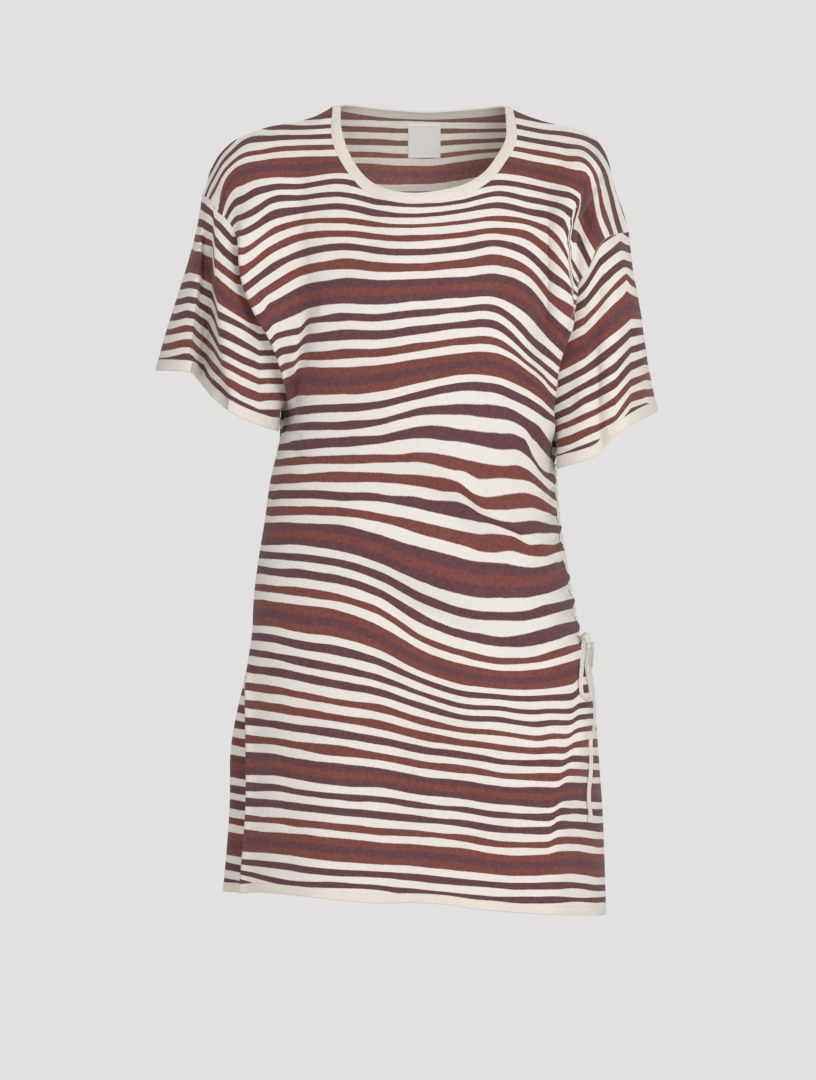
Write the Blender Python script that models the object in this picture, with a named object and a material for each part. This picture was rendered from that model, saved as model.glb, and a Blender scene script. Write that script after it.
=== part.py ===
"""T-shirt dress in striped fine knit, worn and hollow: a front and a back panel, two dropped-shoulder
sleeves, neckband, cuff bands, hem band, a drawcord channel on the ruched side seam, a woven label, and the
bow tied at the channel's lower end.

Every table here is in millimetres, +Z up, the front facing -Y. The origin is the middle of the neck at the
height of the shoulder seam. +X is the wearer's left, where the ruched seam is.

Each piece of cloth is a middle surface, a grid of points, given a wall about it. Pieces sewn together share
the points and the normals of their seam, and each is trimmed back by half the gap there.
"""

import math

import bpy
import numpy as np

MILLIMETRE = 0.001

# Driving sizes
WALL = 1.6  # single jersey
BAND_WALL = 2.4  # doubled jersey of the neckband, cuffs and hem
GAP = 0.4  # between two pieces at a seam
CUFF_WIDTH = 12.0
HEM_WIDTH = 12.0
CORD = 4.5  # drawcord across
SLANT = 37.0  # a course of the knit hangs this much lower at the ruched side

# Cells of the panels' grids
YOKE_CELLS = 16  # shoulder to underarm
GATHERS = 7
GATHER_TOP, GATHER_END = -396.0, -581.0
SKIRT_CELLS = 10  # below the gathers
PANEL_END = -869.5  # at the ruched seam, above the hem band
NECK_PART = 0.62  # of a panel's half width, as the neckline takes it
SIDE_COLUMNS = (1.0, 0.970, 0.935, 0.890, 0.835, 0.77, 0.70)
FRONT_NECK_CELLS, BACK_NECK_CELLS = 16, 8
SLEEVE_CELLS = 7
GATHER_SLOPE = 45.0  # how far a gather climbs across half a panel as it leaves the seam
# place from the seam, depth
GATHER_DEPTH = [(0, 0), (0.035, 1.1), (0.08, 3.4), (0.14, 3.6), (0.22, 2.2), (0.34, 0), (2, 0)]
SQUARENESS = 2.35  # of the body's section: 2 is an ellipse
UNDERARM_DIP, DIP_REACH = 20.0, 14.0
FRONT_SAG = 3.0  # a course rides this much higher in the middle of the front
BACK_SAG = 9.0  # and hangs this much lower in the middle of the back of the skirt

# Finish: red, green, blue (linear), roughness
FINISH = {
    "striped knit": (0.50, 0.36, 0.31, 0.88),
    "cream knit": (0.80, 0.76, 0.66, 0.88),
    "cream cord": (0.78, 0.74, 0.64, 0.82),
    "woven label": (0.83, 0.80, 0.74, 0.72),
}

# Neckline: place, seam x, y, z, band's free edge x, y, z
NECK_FRONT = [
    (-1.00, -95.0, 6, 0.0, -86.5, 8, 1.5),
    (-0.78, -95.5, -22, -33.8, -84.7, -20, -28.0),
    (-0.66, -91.0, -36, -51.3, -79.0, -33, -47.5),
    (-0.47, -75.0, -57, -79.9, -64.5, -53, -74.5),
    (-0.32, -57.1, -70, -99.2, -49.5, -65, -89.0),
    (-0.20, -37.0, -79, -107.9, -31.5, -74, -96.8),
    (-0.05, -7.7, -83, -112.5, -6.5, -78, -100.2),
    (0.08, 19.0, -82, -110.0, 17.0, -77, -98.0),
    (0.25, 51.6, -77, -101.3, 45.5, -72, -91.0),
    (0.41, 76.1, -66, -85.6, 67.5, -61, -77.5),
    (0.57, 93.2, -50, -62.8, 83.0, -45, -57.0),
    (0.71, 103.5, -34, -43.2, 92.3, -29, -38.5),
    (0.86, 104.0, -14, -21.0, 93.5, -10, -16.5),
    (1.00, 101.0, 6, -3.0, 92.5, 8, 0.5),
]
NECK_BACK = [
    (-1.0, -95.0, 6, 0.0, -86.5, 8, 1.5),
    (-0.8, -90.5, 23, -1.0, -81.5, 20, 4.0),
    (-0.6, -79.0, 38, -2.0, -71.0, 33, 5.0),
    (-0.3, -42.0, 56, -5.5, -38.0, 49, 3.0),
    (0.0, 5.0, 62, -7.5, 5.0, 54, 0.5),
    (0.3, 50.0, 56, -6.5, 46.0, 49, 2.0),
    (0.6, 86.0, 38, -5.0, 78.0, 33, 3.0),
    (0.8, 97.0, 23, -4.0, 87.5, 20, 2.5),
    (1.0, 101.0, 6, -3.0, 92.5, 8, 0.5),
]
# Shoulder seams: x, y, z from the neck to the sleeve's tip
SHOULDER = {
    "right": [(-95, 6, 0), (-112, 6, -9.5), (-134, 6, -16.4), (-169, 6, -23), (-187, 6, -29.5), (-201, 6, -36),
              (-212, 6, -45), (-221, 6, -56), (-228, 6, -69), (-232, 5, -84), (-237, 5, -96)],
    "left": [(101, 6, -3), (117, 6, -10), (137, 6, -16.5), (167, 6, -23), (183, 6, -29.5), (192, 6, -36),
             (201, 6, -49), (206, 6, -62), (209, 6, -76), (214, 6, -95), (221, 5, -114), (227, 5, -136)],
}
# Armholes: x, y, z from the shoulder seam down to the underarm
ARMHOLE = {
    ("right", "front"): [(-237, 5, -96), (-225.6, -18, -105), (-220, -27, -116), (-210, -38, -125),
                         (-201, -46, -137), (-193, -53, -162), (-188, -58, -196), (-174, -61, -230),
                         (-156, -61, -260), (-146, -57, -285), (-142, -49, -304), (-142, -35, -316),
                         (-143, -18, -322), (-145, 0, -324)],
    ("right", "back"): [(-237, 5, -96), (-222, 30, -108), (-204, 48, -132), (-192, 60, -170),
                        (-180, 65, -215), (-165, 62, -258), (-152, 48, -290), (-146, 26, -312),
                        (-145, 0, -324)],
    ("left", "front"): [(227, 5, -136), (214, -18, -140), (201, -38, -146), (189, -50, -161),
                        (179.7, -57, -184), (166, -61, -201), (161, -62, -224), (157, -62, -242),
                        (152, -61, -270), (147, -59, -291), (142, -56, -314), (139.5, -48, -336),
                        (141, -34, -351), (142, -17, -360), (143, 0, -362)],
    ("left", "back"): [(227, 5, -136), (213, 30, -142), (196, 50, -162), (182, 62, -196),
                       (170, 66, -240), (158, 62, -285), (148, 48, -322), (143, 26, -349),
                       (143, 0, -362)],
}
# Side seams and depths: z, x and y of the wearer's right seam, x and y of the left seam, y of the front,
# y of the back
BODY = [
    (-300, -141, 0, 140, 0, -122, 92),
    (-345, -148, 0, 142, 0, -120, 88),
    (-372, -154, 0, 143, 0, -118, 86),
    (-407, -162, 0, 145.5, 0, -115, 86),
    (-450, -168, 0, 149, 0, -112, 90),
    (-494, -175, -2, 156, 0, -111, 98),
    (-537, -180, -8, 164, 0, -111, 108),
    (-581, -181, -16, 170.5, 0, -112, 116),
    (-625, -181, -20, 178, 0, -113, 119),
    (-690, -180, -22, 190.5, 0, -115, 120),
    (-755, -180, -22, 197, 0, -118, 121),
    (-821, -185, -22, 200, 0, -121, 123),
    (-890, -192, -22, 202, 0, -124, 125),
]
# Lobes beside a seam, where a panel swings out past it: panel, side, its top, where it is full, its end,
# x, y, place of its crest from the seam
LOBES = [
    ("front", "right", -128, -175, -335, -7, -20, 0.035),
    ("front", "right", -560, -640, -1100, -8, -16, 0.035),
    ("back", "right", -560, -800, -1100, -27, 14, 0.060),
    ("front", "left", -225, -270, -345, 2, -9, 0.050),
]
# How the cloth leaves the shoulder and the neckline: place (1 at the neck's side), outward, forward or back, up
LEAVING = {
    "front": [
        (0, 0, -0.39, -0.92), (0.4, 0.06, -0.44, -0.89), (0.6, 0.26, -0.46, -0.80), (0.75, 0.45, -0.48, -0.70),
        (0.88, 0.56, -0.52, -0.60), (1.0, 0.48, -0.60, -0.58), (1.13, 0.28, -0.70, -0.62),
        (1.24, 0.12, -0.75, -0.64), (1.35, 0.02, -0.76, -0.65), (1.7, 0, -0.76, -0.65),
    ],
    "back": [
        (0, 0, 0.50, -0.86), (0.5, 0.12, 0.56, -0.80), (0.8, 0.34, 0.62, -0.66), (1.0, 0.30, 0.76, -0.54),
        (1.13, 0.16, 0.82, -0.50), (1.35, 0, 0.86, -0.48), (1.7, 0, 0.88, -0.47),
    ],
}
# Folds on the panels: panel, name, height, breadth to -X, breadth to +X, then the line it runs along (x, z)
FOLDS = [
    ("front", "fold over the left armhole", 15, 30, 8,
     [(184, -80), (176, -103), (165, -127), (161, -145), (162, -200), (159, -232)]),
    ("front", "valley beside it", -8, 8, 9, [(184, -116), (175, -145), (174, -190)]),
    ("front", "left shoulder cap", 5, 8, 9, [(200, -74), (198, -100), (195, -122)]),
    ("front", "left underarm fold", 7, 24, 12,
     [(106, -214), (117, -248), (127, -280), (133, -318), (134, -350)]),
    ("front", "right underarm valley", -5, 13, 13, [(-126, -227), (-130, -254), (-135, -302), (-142, -344)]),
    ("front", "right bust fold", 5, 16, 26, [(-108, -240), (-112, -290), (-122, -345)]),
    ("front", "tuck", 7, 26, 18, [(30, -400), (60, -432), (86, -456), (118, -478)]),
    ("front", "valley under the tuck", -4, 18, 18, [(20, -425), (50, -460), (88, -490)]),
    ("front", "waist fold", 5, 20, 20, [(-70, -455), (0, -490), (70, -530), (130, -556)]),
    ("front", "upper swag valley", -5, 16, 18,
     [(-50, -518), (-30, -546), (-6, -570), (18, -607), (34, -628)]),
    ("front", "lower swag valley", -5, 16, 16, [(-20, -534), (30, -562), (78, -586), (120, -600)]),
    ("front", "hip fold", 5, 22, 22, [(-10, -585), (40, -622), (70, -680), (80, -760)]),
    ("front", "ridge down the left of the skirt", 9, 34, 20,
     [(166, -600), (166, -642), (162, -682), (156, -711), (147, -738), (143, -768), (138, -860)]),
    ("front", "skirt fold", 4, 26, 26, [(-95, -650), (-104, -760), (-112, -880)]),
    ("front", "skirt valley", -4, 30, 30, [(-20, -690), (-24, -780), (-26, -880)]),
    ("front", "right shoulder ripple", 3, 9, 9, [(-160, -26), (-150, -42), (-146, -60)]),
    ("front", "left shoulder ripple", 3, 9, 9, [(150, -26), (143, -42), (140, -60)]),
    ("front", "chest fold", 3, 30, 22, [(-20, -150), (-60, -210), (-92, -300)]),
    ("back", "right blade fold", 7, 22, 30, [(-150, -120), (-140, -190), (-136, -280), (-142, -340)]),
    ("back", "left blade fold", 7, 30, 22, [(150, -140), (140, -210), (136, -300), (139, -370)]),
    ("back", "waist fold", 7, 24, 24, [(-110, -380), (-50, -420), (20, -470), (90, -520), (140, -548)]),
    ("back", "waist valley", -6, 24, 24, [(-80, -430), (-20, -480), (50, -540), (120, -575)]),
    ("back", "hip fold", 6, 26, 26, [(-40, -520), (20, -580), (60, -660), (74, -760)]),
    ("back", "right skirt fold", 6, 28, 28, [(-120, -600), (-132, -720), (-140, -880)]),
    ("back", "middle skirt valley", -5, 30, 30, [(-50, -640), (-54, -760), (-58, -880)]),
    ("back", "left skirt fold", 7, 28, 24, [(140, -610), (142, -740), (140, -880)]),
]
# The wearing edge of each cuff: place round it (0 outer, 18 underarm), x, y, z
CUFF = {
    "right": [(0, -288, 14, -287), (1, -282, -12, -288), (2, -268, -33, -289), (3, -248, -46, -291),
              (4, -243, -33, -296), (5, -238, -25, -302), (6, -229, -39, -311), (7, -221, -54, -319),
              (9, -203, -66, -335), (11, -183, -66, -345), (13, -166, -58, -351), (15, -155, -42, -354),
              (17, -156, -12, -353), (18, -161, 2, -350), (21, -172, 40, -336), (25, -203, 72, -321),
              (29, -244, 72, -284), (33, -276, 48, -279), (36, -288, 14, -287)],
    "left": [(0, 259, 12, -331), (2, 251, -30, -336), (4, 236, -58, -343), (6, 216, -76, -355),
             (7, 204, -76, -364), (8, 196, -68, -375), (9, 190, -70, -381), (11, 173, -68, -388),
             (13, 158, -58, -392), (15, 149, -42, -395), (17, 153, -14, -393), (18, 160, 2, -389),
             (21, 174, 42, -374), (25, 200, 74, -356), (29, 230, 72, -334), (33, 252, 46, -323),
             (36, 259, 12, -331)],
}
# How a sleeve leaves the armhole: place round it, outward, forward or back, up
SLEEVE_LEAVING = [
    (0, 0.10, 0, -1), (4, 0.55, -0.35, -0.75), (9, 0.75, -0.30, -0.60), (14, 0.85, -0.12, -0.45),
    (18, 1, 0, -0.15), (21, 1, 0.02, -0.15), (23, 0.85, 0.12, -0.40), (27, 0.75, 0.30, -0.60),
    (32, 0.55, 0.35, -0.75), (36, 0.10, 0, -1),
]
# Folds on the front half of the sleeves: side, name, height, breadth to -X, breadth to +X, the line (x, z)
SLEEVE_FOLDS = [
    ("left", "fold down the sleeve", 5, 12, 16, [(206, -215), (204, -270), (208, -330)]),
    ("left", "crease at the cap", 4, 10, 8, [(219, -160), (226, -195), (236, -240), (240, -275)]),
    ("right", "front of the sleeve", 5, 14, 22, [(-222, -160), (-218, -230), (-212, -300)]),
]
# Drawcord lengths below the channel, from the knot: x, y, z
CORDS = {
    "cord_end_long": [
        (182.6, -15.8, -588.1), (183.2, -21, -595), (182.4, -33, -606), (185.4, -37, -626), (187.6, -37, -645),
        (188.4, -36, -654), (187.2, -47, -674), (183.3, -61.5, -688), (183.8, -61, -710), (183.1, -62.5, -725),
        (181.3, -65.5, -741), (181.2, -66.5, -752), (182.8, -64.5, -769), (181.4, -67.5, -775),
    ],
    "cord_loop_front": [
        (178.4, -23.1, -579.4), (176.4, -36, -585), (174.9, -50, -598), (173.5, -61.5, -613),
        (172.6, -66.5, -627), (174.0, -66, -638), (178.4, -61, -643.5), (182.8, -52, -641),
        (183.8, -48, -634), (181.7, -50, -622), (179.4, -49, -609), (179.4, -38, -596),
        (180.6, -21.6, -585.3),
    ],
    "cord_loop_back": [
        (186.8, -13.1, -582.2), (187.6, -9.5, -591), (186.4, -5.5, -601), (186.2, 1, -609), (184.6, 8, -611),
        (182.0, 14, -605), (180.4, 13, -595), (180.8, 3, -587.5), (181.8, -9.4, -583.6),
    ],
    "cord_end_short": [
        (178.2, -9.0, -579), (176.0, 4, -577.5), (174.6, 17, -583), (175.2, 27, -600), (179.2, 31, -620),
        (183.0, 33, -645), (187.0, 34, -668), (189.2, 35, -682),
    ],
}
CORD_STEP = 10.0  # between points of a cord's solid
KNOT = (179.5, -16.0, -579.8)
KNOT_SIZE = (5.6, 6.5, 7.4)  # half sizes: off the cloth, across the seam, along it
CHANNEL_HALF = 6.5
CHANNEL_TOP, CHANNEL_END = -390.0, -581.0
CHANNEL_LIFT = 0.65  # of its base off the panels
# place across its half width, thickness
CHANNEL_SECTION = [(1, 1.0), (0.45, 1.9), (0, 2.4), (-0.45, 1.9), (-1, 1.0)]
LABEL = (-13.0, 23.0, -12.0, -48.0)  # x from, to, z from, to
LABEL_LIFT, LABEL_WALL, LABEL_CELLS = 0.5, 0.6, 4


def through(rows, at):
    """Values of a table at the places asked, on a smooth curve. Its first column is the place."""
    rows = np.array(rows, float)
    rows = rows[np.argsort(rows[:, 0])]
    place, value = rows[:, 0], rows[:, 1:]
    step = np.diff(place)[:, None]
    slope = np.diff(value, axis=0) / step
    inner = (step[1:] * slope[:-1] + step[:-1] * slope[1:]) / (step[1:] + step[:-1])
    bend = np.vstack([slope[:1], inner, slope[-1:]])
    at = np.clip(np.asarray(at, float), place[0], place[-1])
    i = np.clip(np.searchsorted(place, at, side="right") - 1, 0, len(place) - 2)
    t = ((at - place[i]) / step[i, 0])[..., None]
    return hermite(value[i], bend[i] * step[i], value[i + 1], bend[i + 1] * step[i], t)


def hermite(start, leave, end, arrive, t):
    return (
        start * (1 + 2 * t) * (1 - t) ** 2
        + leave * t * (1 - t) ** 2
        + end * t * t * (3 - 2 * t)
        + arrive * t * t * (t - 1)
    )


def along(points, fractions):
    """Points at these fractions of the length of a smooth line through a list of points."""
    points = np.array(points, float)
    run = np.concatenate([[0], np.cumsum(np.linalg.norm(np.diff(points, axis=0), axis=1))])
    return through(np.column_stack([run / run[-1], points]), fractions)


def ease(t):
    t = np.clip(t, 0, 1)
    return t * t * (3 - 2 * t)


def unit(vectors):
    return vectors / np.maximum(np.linalg.norm(vectors, axis=-1, keepdims=True), 1e-12)


def columns(neck_cells):
    """Places of a panel's columns, -1 at the wearer's right seam, 1 at the left."""
    side = np.array(SIDE_COLUMNS)
    return np.concatenate([-side, np.linspace(-NECK_PART, NECK_PART, neck_cells + 1), side[::-1]])


def levels():
    """Heights of the panels' rows below the underarm, at the ruched seam: four to each gather."""
    ruche = np.linspace(GATHER_TOP, GATHER_END, 4 * GATHERS + 1)
    skirt = np.linspace(GATHER_END, PANEL_END, SKIRT_CELLS + 1)[1:]
    return np.concatenate([[ARMHOLE["left", "front"][-1][2], -379.0], ruche, skirt])


def section(panel, level, places):
    """A row of a panel round the body: equal parts of its girth, from seam to seam."""
    z_left, z_right = level, level + SLANT
    body = through(BODY, np.array([z_left, z_right, (z_left + z_right) / 2]))
    x0, y0 = body[1, 0], body[1, 1]
    x1, y1 = body[0, 2], body[0, 3]
    depth = body[2, 4] if panel == "front" else body[2, 5]
    turn = np.linspace(-1, 1, 401) * math.pi / 2
    power = 2 / SQUARENESS
    across = np.sign(turn) * np.abs(np.sin(turn)) ** power
    x = (x0 + x1) / 2 + (x1 - x0) / 2 * across
    seam_y = (y0 + y1) / 2 + (y1 - y0) / 2 * across
    y = seam_y + (depth - seam_y) * np.cos(turn) ** power
    z = z_left + SLANT * (1 - across) / 2
    if panel == "front":
        z = z + FRONT_SAG * np.cos(turn)
    else:
        z = z - BACK_SAG * np.cos(turn) ** 0.5 * ease((-500 - level) / 300)
    run = np.concatenate([[0], np.cumsum(np.hypot(np.diff(x), np.diff(y)))])
    # the first rows dip away from the underarm, so that they leave the armhole's foot at a slope
    from_seam = np.minimum(run, run[-1] - run)
    z = z - UNDERARM_DIP * ease((level + 450) / 88) * (1 - np.exp(-from_seam / DIP_REACH))
    at = (places + 1) / 2 * run[-1]
    return np.column_stack([np.interp(at, run, v) for v in (x, y, z)])


def armhole(side, panel, fractions):
    """Points down half an armhole, ending where the side seam begins."""
    foot = section(panel, levels()[0], np.array([-1.0 if side == "right" else 1.0]))
    return along(np.vstack([ARMHOLE[side, panel][:-1], foot]), fractions)


def yoke(panel, places):
    """Rows from the shoulder seams and the neckline down to the underarm."""
    outer = np.abs(places) > NECK_PART
    top = np.empty((len(places), 3))
    neck = NECK_FRONT if panel == "front" else NECK_BACK
    top[~outer] = through(neck, places[~outer] / NECK_PART)[:, :3]
    for side, sign in (("right", -1), ("left", 1)):
        here = outer & (places * sign > 0)
        top[here] = along(SHOULDER[side], (np.abs(places[here]) - NECK_PART) / (1 - NECK_PART))
    level = levels()[0]
    end = section(panel, level, places)
    arrive = unit(section(panel, level - 20, places) - end)
    leave = unit(through(LEAVING[panel], np.abs(places) / NECK_PART))
    leave[:, 0] *= np.sign(places)
    span = np.linalg.norm(end - top, axis=1)[:, None]
    t = np.linspace(0, 1, YOKE_CELLS + 1)[:, None, None]
    rows = hermite(top, leave * span, end, arrive * span, t)
    for side, sign in (("right", -1), ("left", 1)):
        seam = armhole(side, panel, t[:, 0, 0])
        column = np.argmax(places * sign)
        pull = ease((places * sign - 0.5) / 0.5) ** 1.3
        rows += (seam - rows[:, column])[:, None, :] * pull[None, :, None]
    return rows


def line_distance(x, z, path):
    """Distance of each point from a line, minus on its -X side."""
    best = np.full(x.shape, 1e9)
    side = np.ones(x.shape)
    path = np.array(path, float)
    for (ax, az), (bx, bz) in zip(path[:-1], path[1:]):
        dx, dz = bx - ax, bz - az
        t = np.clip(((x - ax) * dx + (z - az) * dz) / (dx * dx + dz * dz), 0, 1)
        far = np.hypot(x - ax - t * dx, z - az - t * dz)
        near = far < best
        best = np.where(near, far, best)
        side = np.where(near, np.sign(dx * (z - az) - dz * (x - ax)), side)
    return best * side


def grid_normals(grid, closed=False):
    """Unit normals of a grid: rows run down, columns to the right when seen from outside."""
    down = np.gradient(grid, axis=0)
    if closed:
        right = (np.roll(grid, -1, axis=1) - np.roll(grid, 1, axis=1)) / 2
    else:
        right = np.gradient(grid, axis=1)
    return unit(np.cross(down, right))


def panel(name, neck_cells):
    places = columns(neck_cells)
    lower = np.array([section(name, level, places) for level in levels()])
    grid = np.concatenate([yoke(name, places)[:-1], lower])
    outward = grid_normals(grid) * (1 if name == "front" else -1)
    x, z = grid[..., 0], grid[..., 2]
    free = ease((1 - np.abs(places)) / 0.05)[None, :] * ease(np.arange(len(grid)) / 2.5)[:, None]
    push = np.zeros(x.shape)
    for owner, _, height, minus, plus, path in FOLDS:
        if owner == name:
            far = line_distance(x, z, path)
            push += height * np.exp(-((far / np.where(far > 0, plus, minus)) ** 2))
    # Gathers along the ruched seam: deep close to it, and running down and away from it
    away = 1 - places
    level = z + GATHER_SLOPE * away[None, :]
    wave = np.sin((level - GATHER_TOP) / (GATHER_END - GATHER_TOP) * GATHERS * 2 * math.pi)
    zone = ease((GATHER_TOP + 12 - z) / 25) * ease((z - GATHER_END + 22) / 30)
    depth = np.interp(away, *zip(*GATHER_DEPTH))
    push = push * free + wave * zone * depth[None, :]
    grid = grid + outward * push[..., None]
    for owner, side, top, full, end, dx, dy, crest in LOBES:
        if owner == name:
            sign = -1 if side == "right" else 1
            away = (1 - places * sign) / crest
            swell = away * np.exp(1 - away)
            edge_z = grid[:, np.argmax(places * sign), 2]
            reach = ease((top - edge_z) / (top - full)) * ease((edge_z - end) / 40)
            grid = grid + (reach[:, None] * swell[None, :])[..., None] * np.array([dx, dy, 0.0])
    return places, grid


def sleeve(side):
    """A ring of points from the armhole to the cuff's edge: rows go down the sleeve, the last is the cuff's."""
    sign = -1 if side == "right" else 1
    t = np.arange(YOKE_CELLS) / YOKE_CELLS
    front = armhole(side, "front", t)
    back = armhole(side, "back", 1 - t)
    start = np.concatenate([front, back])
    place = np.arange(2 * YOKE_CELLS) * 18 / YOKE_CELLS
    end = through(CUFF[side], place)
    leave = unit(through(SLEEVE_LEAVING, place) * np.array([sign, 1, 1]))
    arrive = unit(np.array([0.22 * sign, 0, -1]))
    span = np.linalg.norm(end - start, axis=1)[:, None]
    cuff = 1 - np.minimum(CUFF_WIDTH / span, 0.42)
    t = np.linspace(0, 1, SLEEVE_CELLS + 1)[:, None, None] * cuff
    grid = hermite(start, leave * span, end, arrive * span, t)
    outward = grid_normals(grid, closed=True) * (-1 if side == "left" else 1)
    x, y, z = grid[..., 0], grid[..., 1], grid[..., 2]
    half = ease(-y / 25) * ease(t[..., 0] / 0.12)
    for owner, _, height, minus, plus, path in SLEEVE_FOLDS:
        if owner == side:
            far = line_distance(x, z, path)
            swell = height * half * np.exp(-((far / np.where(far > 0, plus, minus)) ** 2))
            grid = grid + outward * swell[..., None]
    edge = grid[-1] + (end - hermite(start, leave * span, end, arrive * span, cuff))
    return np.concatenate([grid, edge[None]])


class Sheet:
    """A grid of points on a piece's middle surface. flip turns round which side faces out."""

    def __init__(self, grid, closed=False, flip=False):
        self.grid, self.closed, self.flip = grid, closed, flip
        self.normals = self.lean = self.own = None

    def quads(self):
        rows, cols = self.grid.shape[:2]
        r, c = np.meshgrid(np.arange(rows - 1), np.arange(cols if self.closed else cols - 1), indexing="ij")
        right = (c + 1) % cols
        corner = np.stack([r * cols + c, (r + 1) * cols + c, (r + 1) * cols + right, r * cols + right], -1)
        corner = corner.reshape(-1, 4)
        return corner[:, ::-1] if self.flip else corner


def share_normals(sheets):
    """Where pieces meet, one wall direction for all of them, lengthened so that a sharp seam keeps its wall."""
    total, keys = {}, []
    for sheet in sheets:
        flat = sheet.grid.reshape(-1, 3)
        own = np.zeros_like(flat)
        quad = sheet.quads()
        p = flat[quad]
        face = np.cross(p[:, 2] - p[:, 0], p[:, 3] - p[:, 1])
        for corner in range(4):
            np.add.at(own, quad[:, corner], face)
        sheet.own = unit(own).reshape(sheet.grid.shape)
        key = [tuple(row) for row in np.round(flat, 3) + 0.0]
        for name, vector in zip(key, unit(own)):
            total[name] = total.get(name, 0) + np.append(vector, 1)
        keys.append(key)
    for sheet, key in zip(sheets, keys):
        found = np.array([total[name] for name in key])
        # the mean's length is the mean cosine between the pieces and their shared direction
        lean = np.clip(np.linalg.norm(found[:, :3], axis=1) / found[:, 3], 0.55, 1)[:, None]
        sheet.lean = lean.reshape(*sheet.grid.shape[:2], 1)
        sheet.normals = (unit(found[:, :3]) / lean).reshape(sheet.grid.shape)


def drawn_back(edge, inner, normals, lean, closed):
    """How far each point of a sheet's edge moves in the cloth to leave half the gap along both of its sides."""
    ahead = np.roll(edge, -1, axis=0) - edge
    side = unit(np.cross(normals + np.roll(normals, -1, axis=0), ahead))
    inward = inner - edge
    if (side * inward)[: len(edge) - 1].sum() < 0:
        side = -side
    before = np.roll(side, 1, axis=0)
    if not closed:
        before[0], side[-1] = side[0], before[-1]
    both = (side * before).sum(axis=1, keepdims=True)
    return (side + before) / np.maximum(1 + both, 0.5) * GAP / 2 / lean


def trimmed(sheet, top=True, bottom=True, left=True, right=True):
    """The grid with each edge that is sewn to another piece drawn back by half the gap."""
    grid, lean, own, at = sheet.grid.copy(), sheet.lean, sheet.own, sheet.grid
    if top:
        grid[0] += drawn_back(at[0], at[1], own[0], lean[0], sheet.closed)
    if bottom:
        grid[-1] += drawn_back(at[-1], at[-2], own[-1], lean[-1], sheet.closed)
    if not sheet.closed:
        if left:
            grid[:, 0] += drawn_back(at[:, 0], at[:, 1], own[:, 0], lean[:, 0], False)
        if right:
            grid[:, -1] += drawn_back(at[:, -1], at[:, -2], own[:, -1], lean[:, -1], False)
    return grid


def finish(name):
    """The material of this name, made the first time it is asked for."""
    material = bpy.data.materials.get(name)
    if material is None:
        *colour, roughness = FINISH[name]
        material = bpy.data.materials.new(name)
        material.use_nodes = True
        surface = material.node_tree.nodes["Principled BSDF"]
        surface.inputs["Base Color"].default_value = (*colour, 1)
        surface.inputs["Roughness"].default_value = roughness
        surface.inputs["Metallic"].default_value = 0
    return material


def place_object(name, data, material):
    data.materials.append(finish(material))
    obj = bpy.data.objects.new(name, data)
    bpy.context.scene.collection.objects.link(obj)
    return obj


def add_mesh(name, points, faces, material):
    mesh = bpy.data.meshes.new(name)
    points = np.asarray(points) * MILLIMETRE
    mesh.from_pydata([tuple(p) for p in points], [], [tuple(int(i) for i in f) for f in faces])
    mesh.shade_smooth()
    mesh.set_sharp_from_angle(angle=math.radians(50))
    return place_object(name, mesh, material)


def wall(name, sheet, outer, inner, material):
    """A closed solid between two grids of the same shape. Both sides are cut along the same diagonals."""
    rows, cols = sheet.grid.shape[:2]
    count = rows * cols
    middle = ((outer + inner) / 2).reshape(-1, 3)
    faces = []
    for a, b, c, d in sheet.quads():
        if np.linalg.norm(middle[a] - middle[c]) <= np.linalg.norm(middle[b] - middle[d]):
            halves = ((a, b, c), (a, c, d))
        else:
            halves = ((a, b, d), (b, c, d))
        for half in halves:
            faces.append(half)
            faces.append(tuple(i + count for i in half[::-1]))

    def rim(line, turn):
        for a, b in zip(line[:-1], line[1:]):
            # sewn edges meet here, so both pieces cut this strip from its higher end
            rise = (middle[a] - middle[b]).round(1)
            if next((v for v in rise[::-1] if v), 0) > 0:
                side = [(b, a, b + count), (a, a + count, b + count)]
            else:
                side = [(b, a, a + count), (b, a + count, b + count)]
            faces.extend(t[::-1] if turn else t for t in side)

    def ring(row):
        return np.append(row, row[0]) if sheet.closed else row

    index = np.arange(count).reshape(rows, cols)
    rim(ring(index[0]), not sheet.flip)
    rim(ring(index[-1]), sheet.flip)
    if not sheet.closed:
        rim(index[:, 0], sheet.flip)
        rim(index[:, -1], not sheet.flip)
    points = np.concatenate([outer.reshape(-1, 3), inner.reshape(-1, 3)])
    return add_mesh(name, points, faces, material)


def cloth(name, sheet, thickness, material, edges=(True, True, True, True)):
    grid = trimmed(sheet, *edges)
    half = sheet.normals * thickness / 2
    return wall(name, sheet, grid + half, grid - half, material)


def tube(name, path):
    """A round cord along a line of points, closed at both ends."""
    curve = bpy.data.curves.new(name, "CURVE")
    curve.dimensions = "3D"
    curve.bevel_depth = CORD / 2 * MILLIMETRE
    curve.bevel_resolution = 2
    curve.use_fill_caps = True
    spline = curve.splines.new("POLY")
    spline.points.add(len(path) - 1)
    for point, place in zip(spline.points, path):
        point.co = (*(place * MILLIMETRE), 1)
    return place_object(name, curve, "cream cord")


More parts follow.
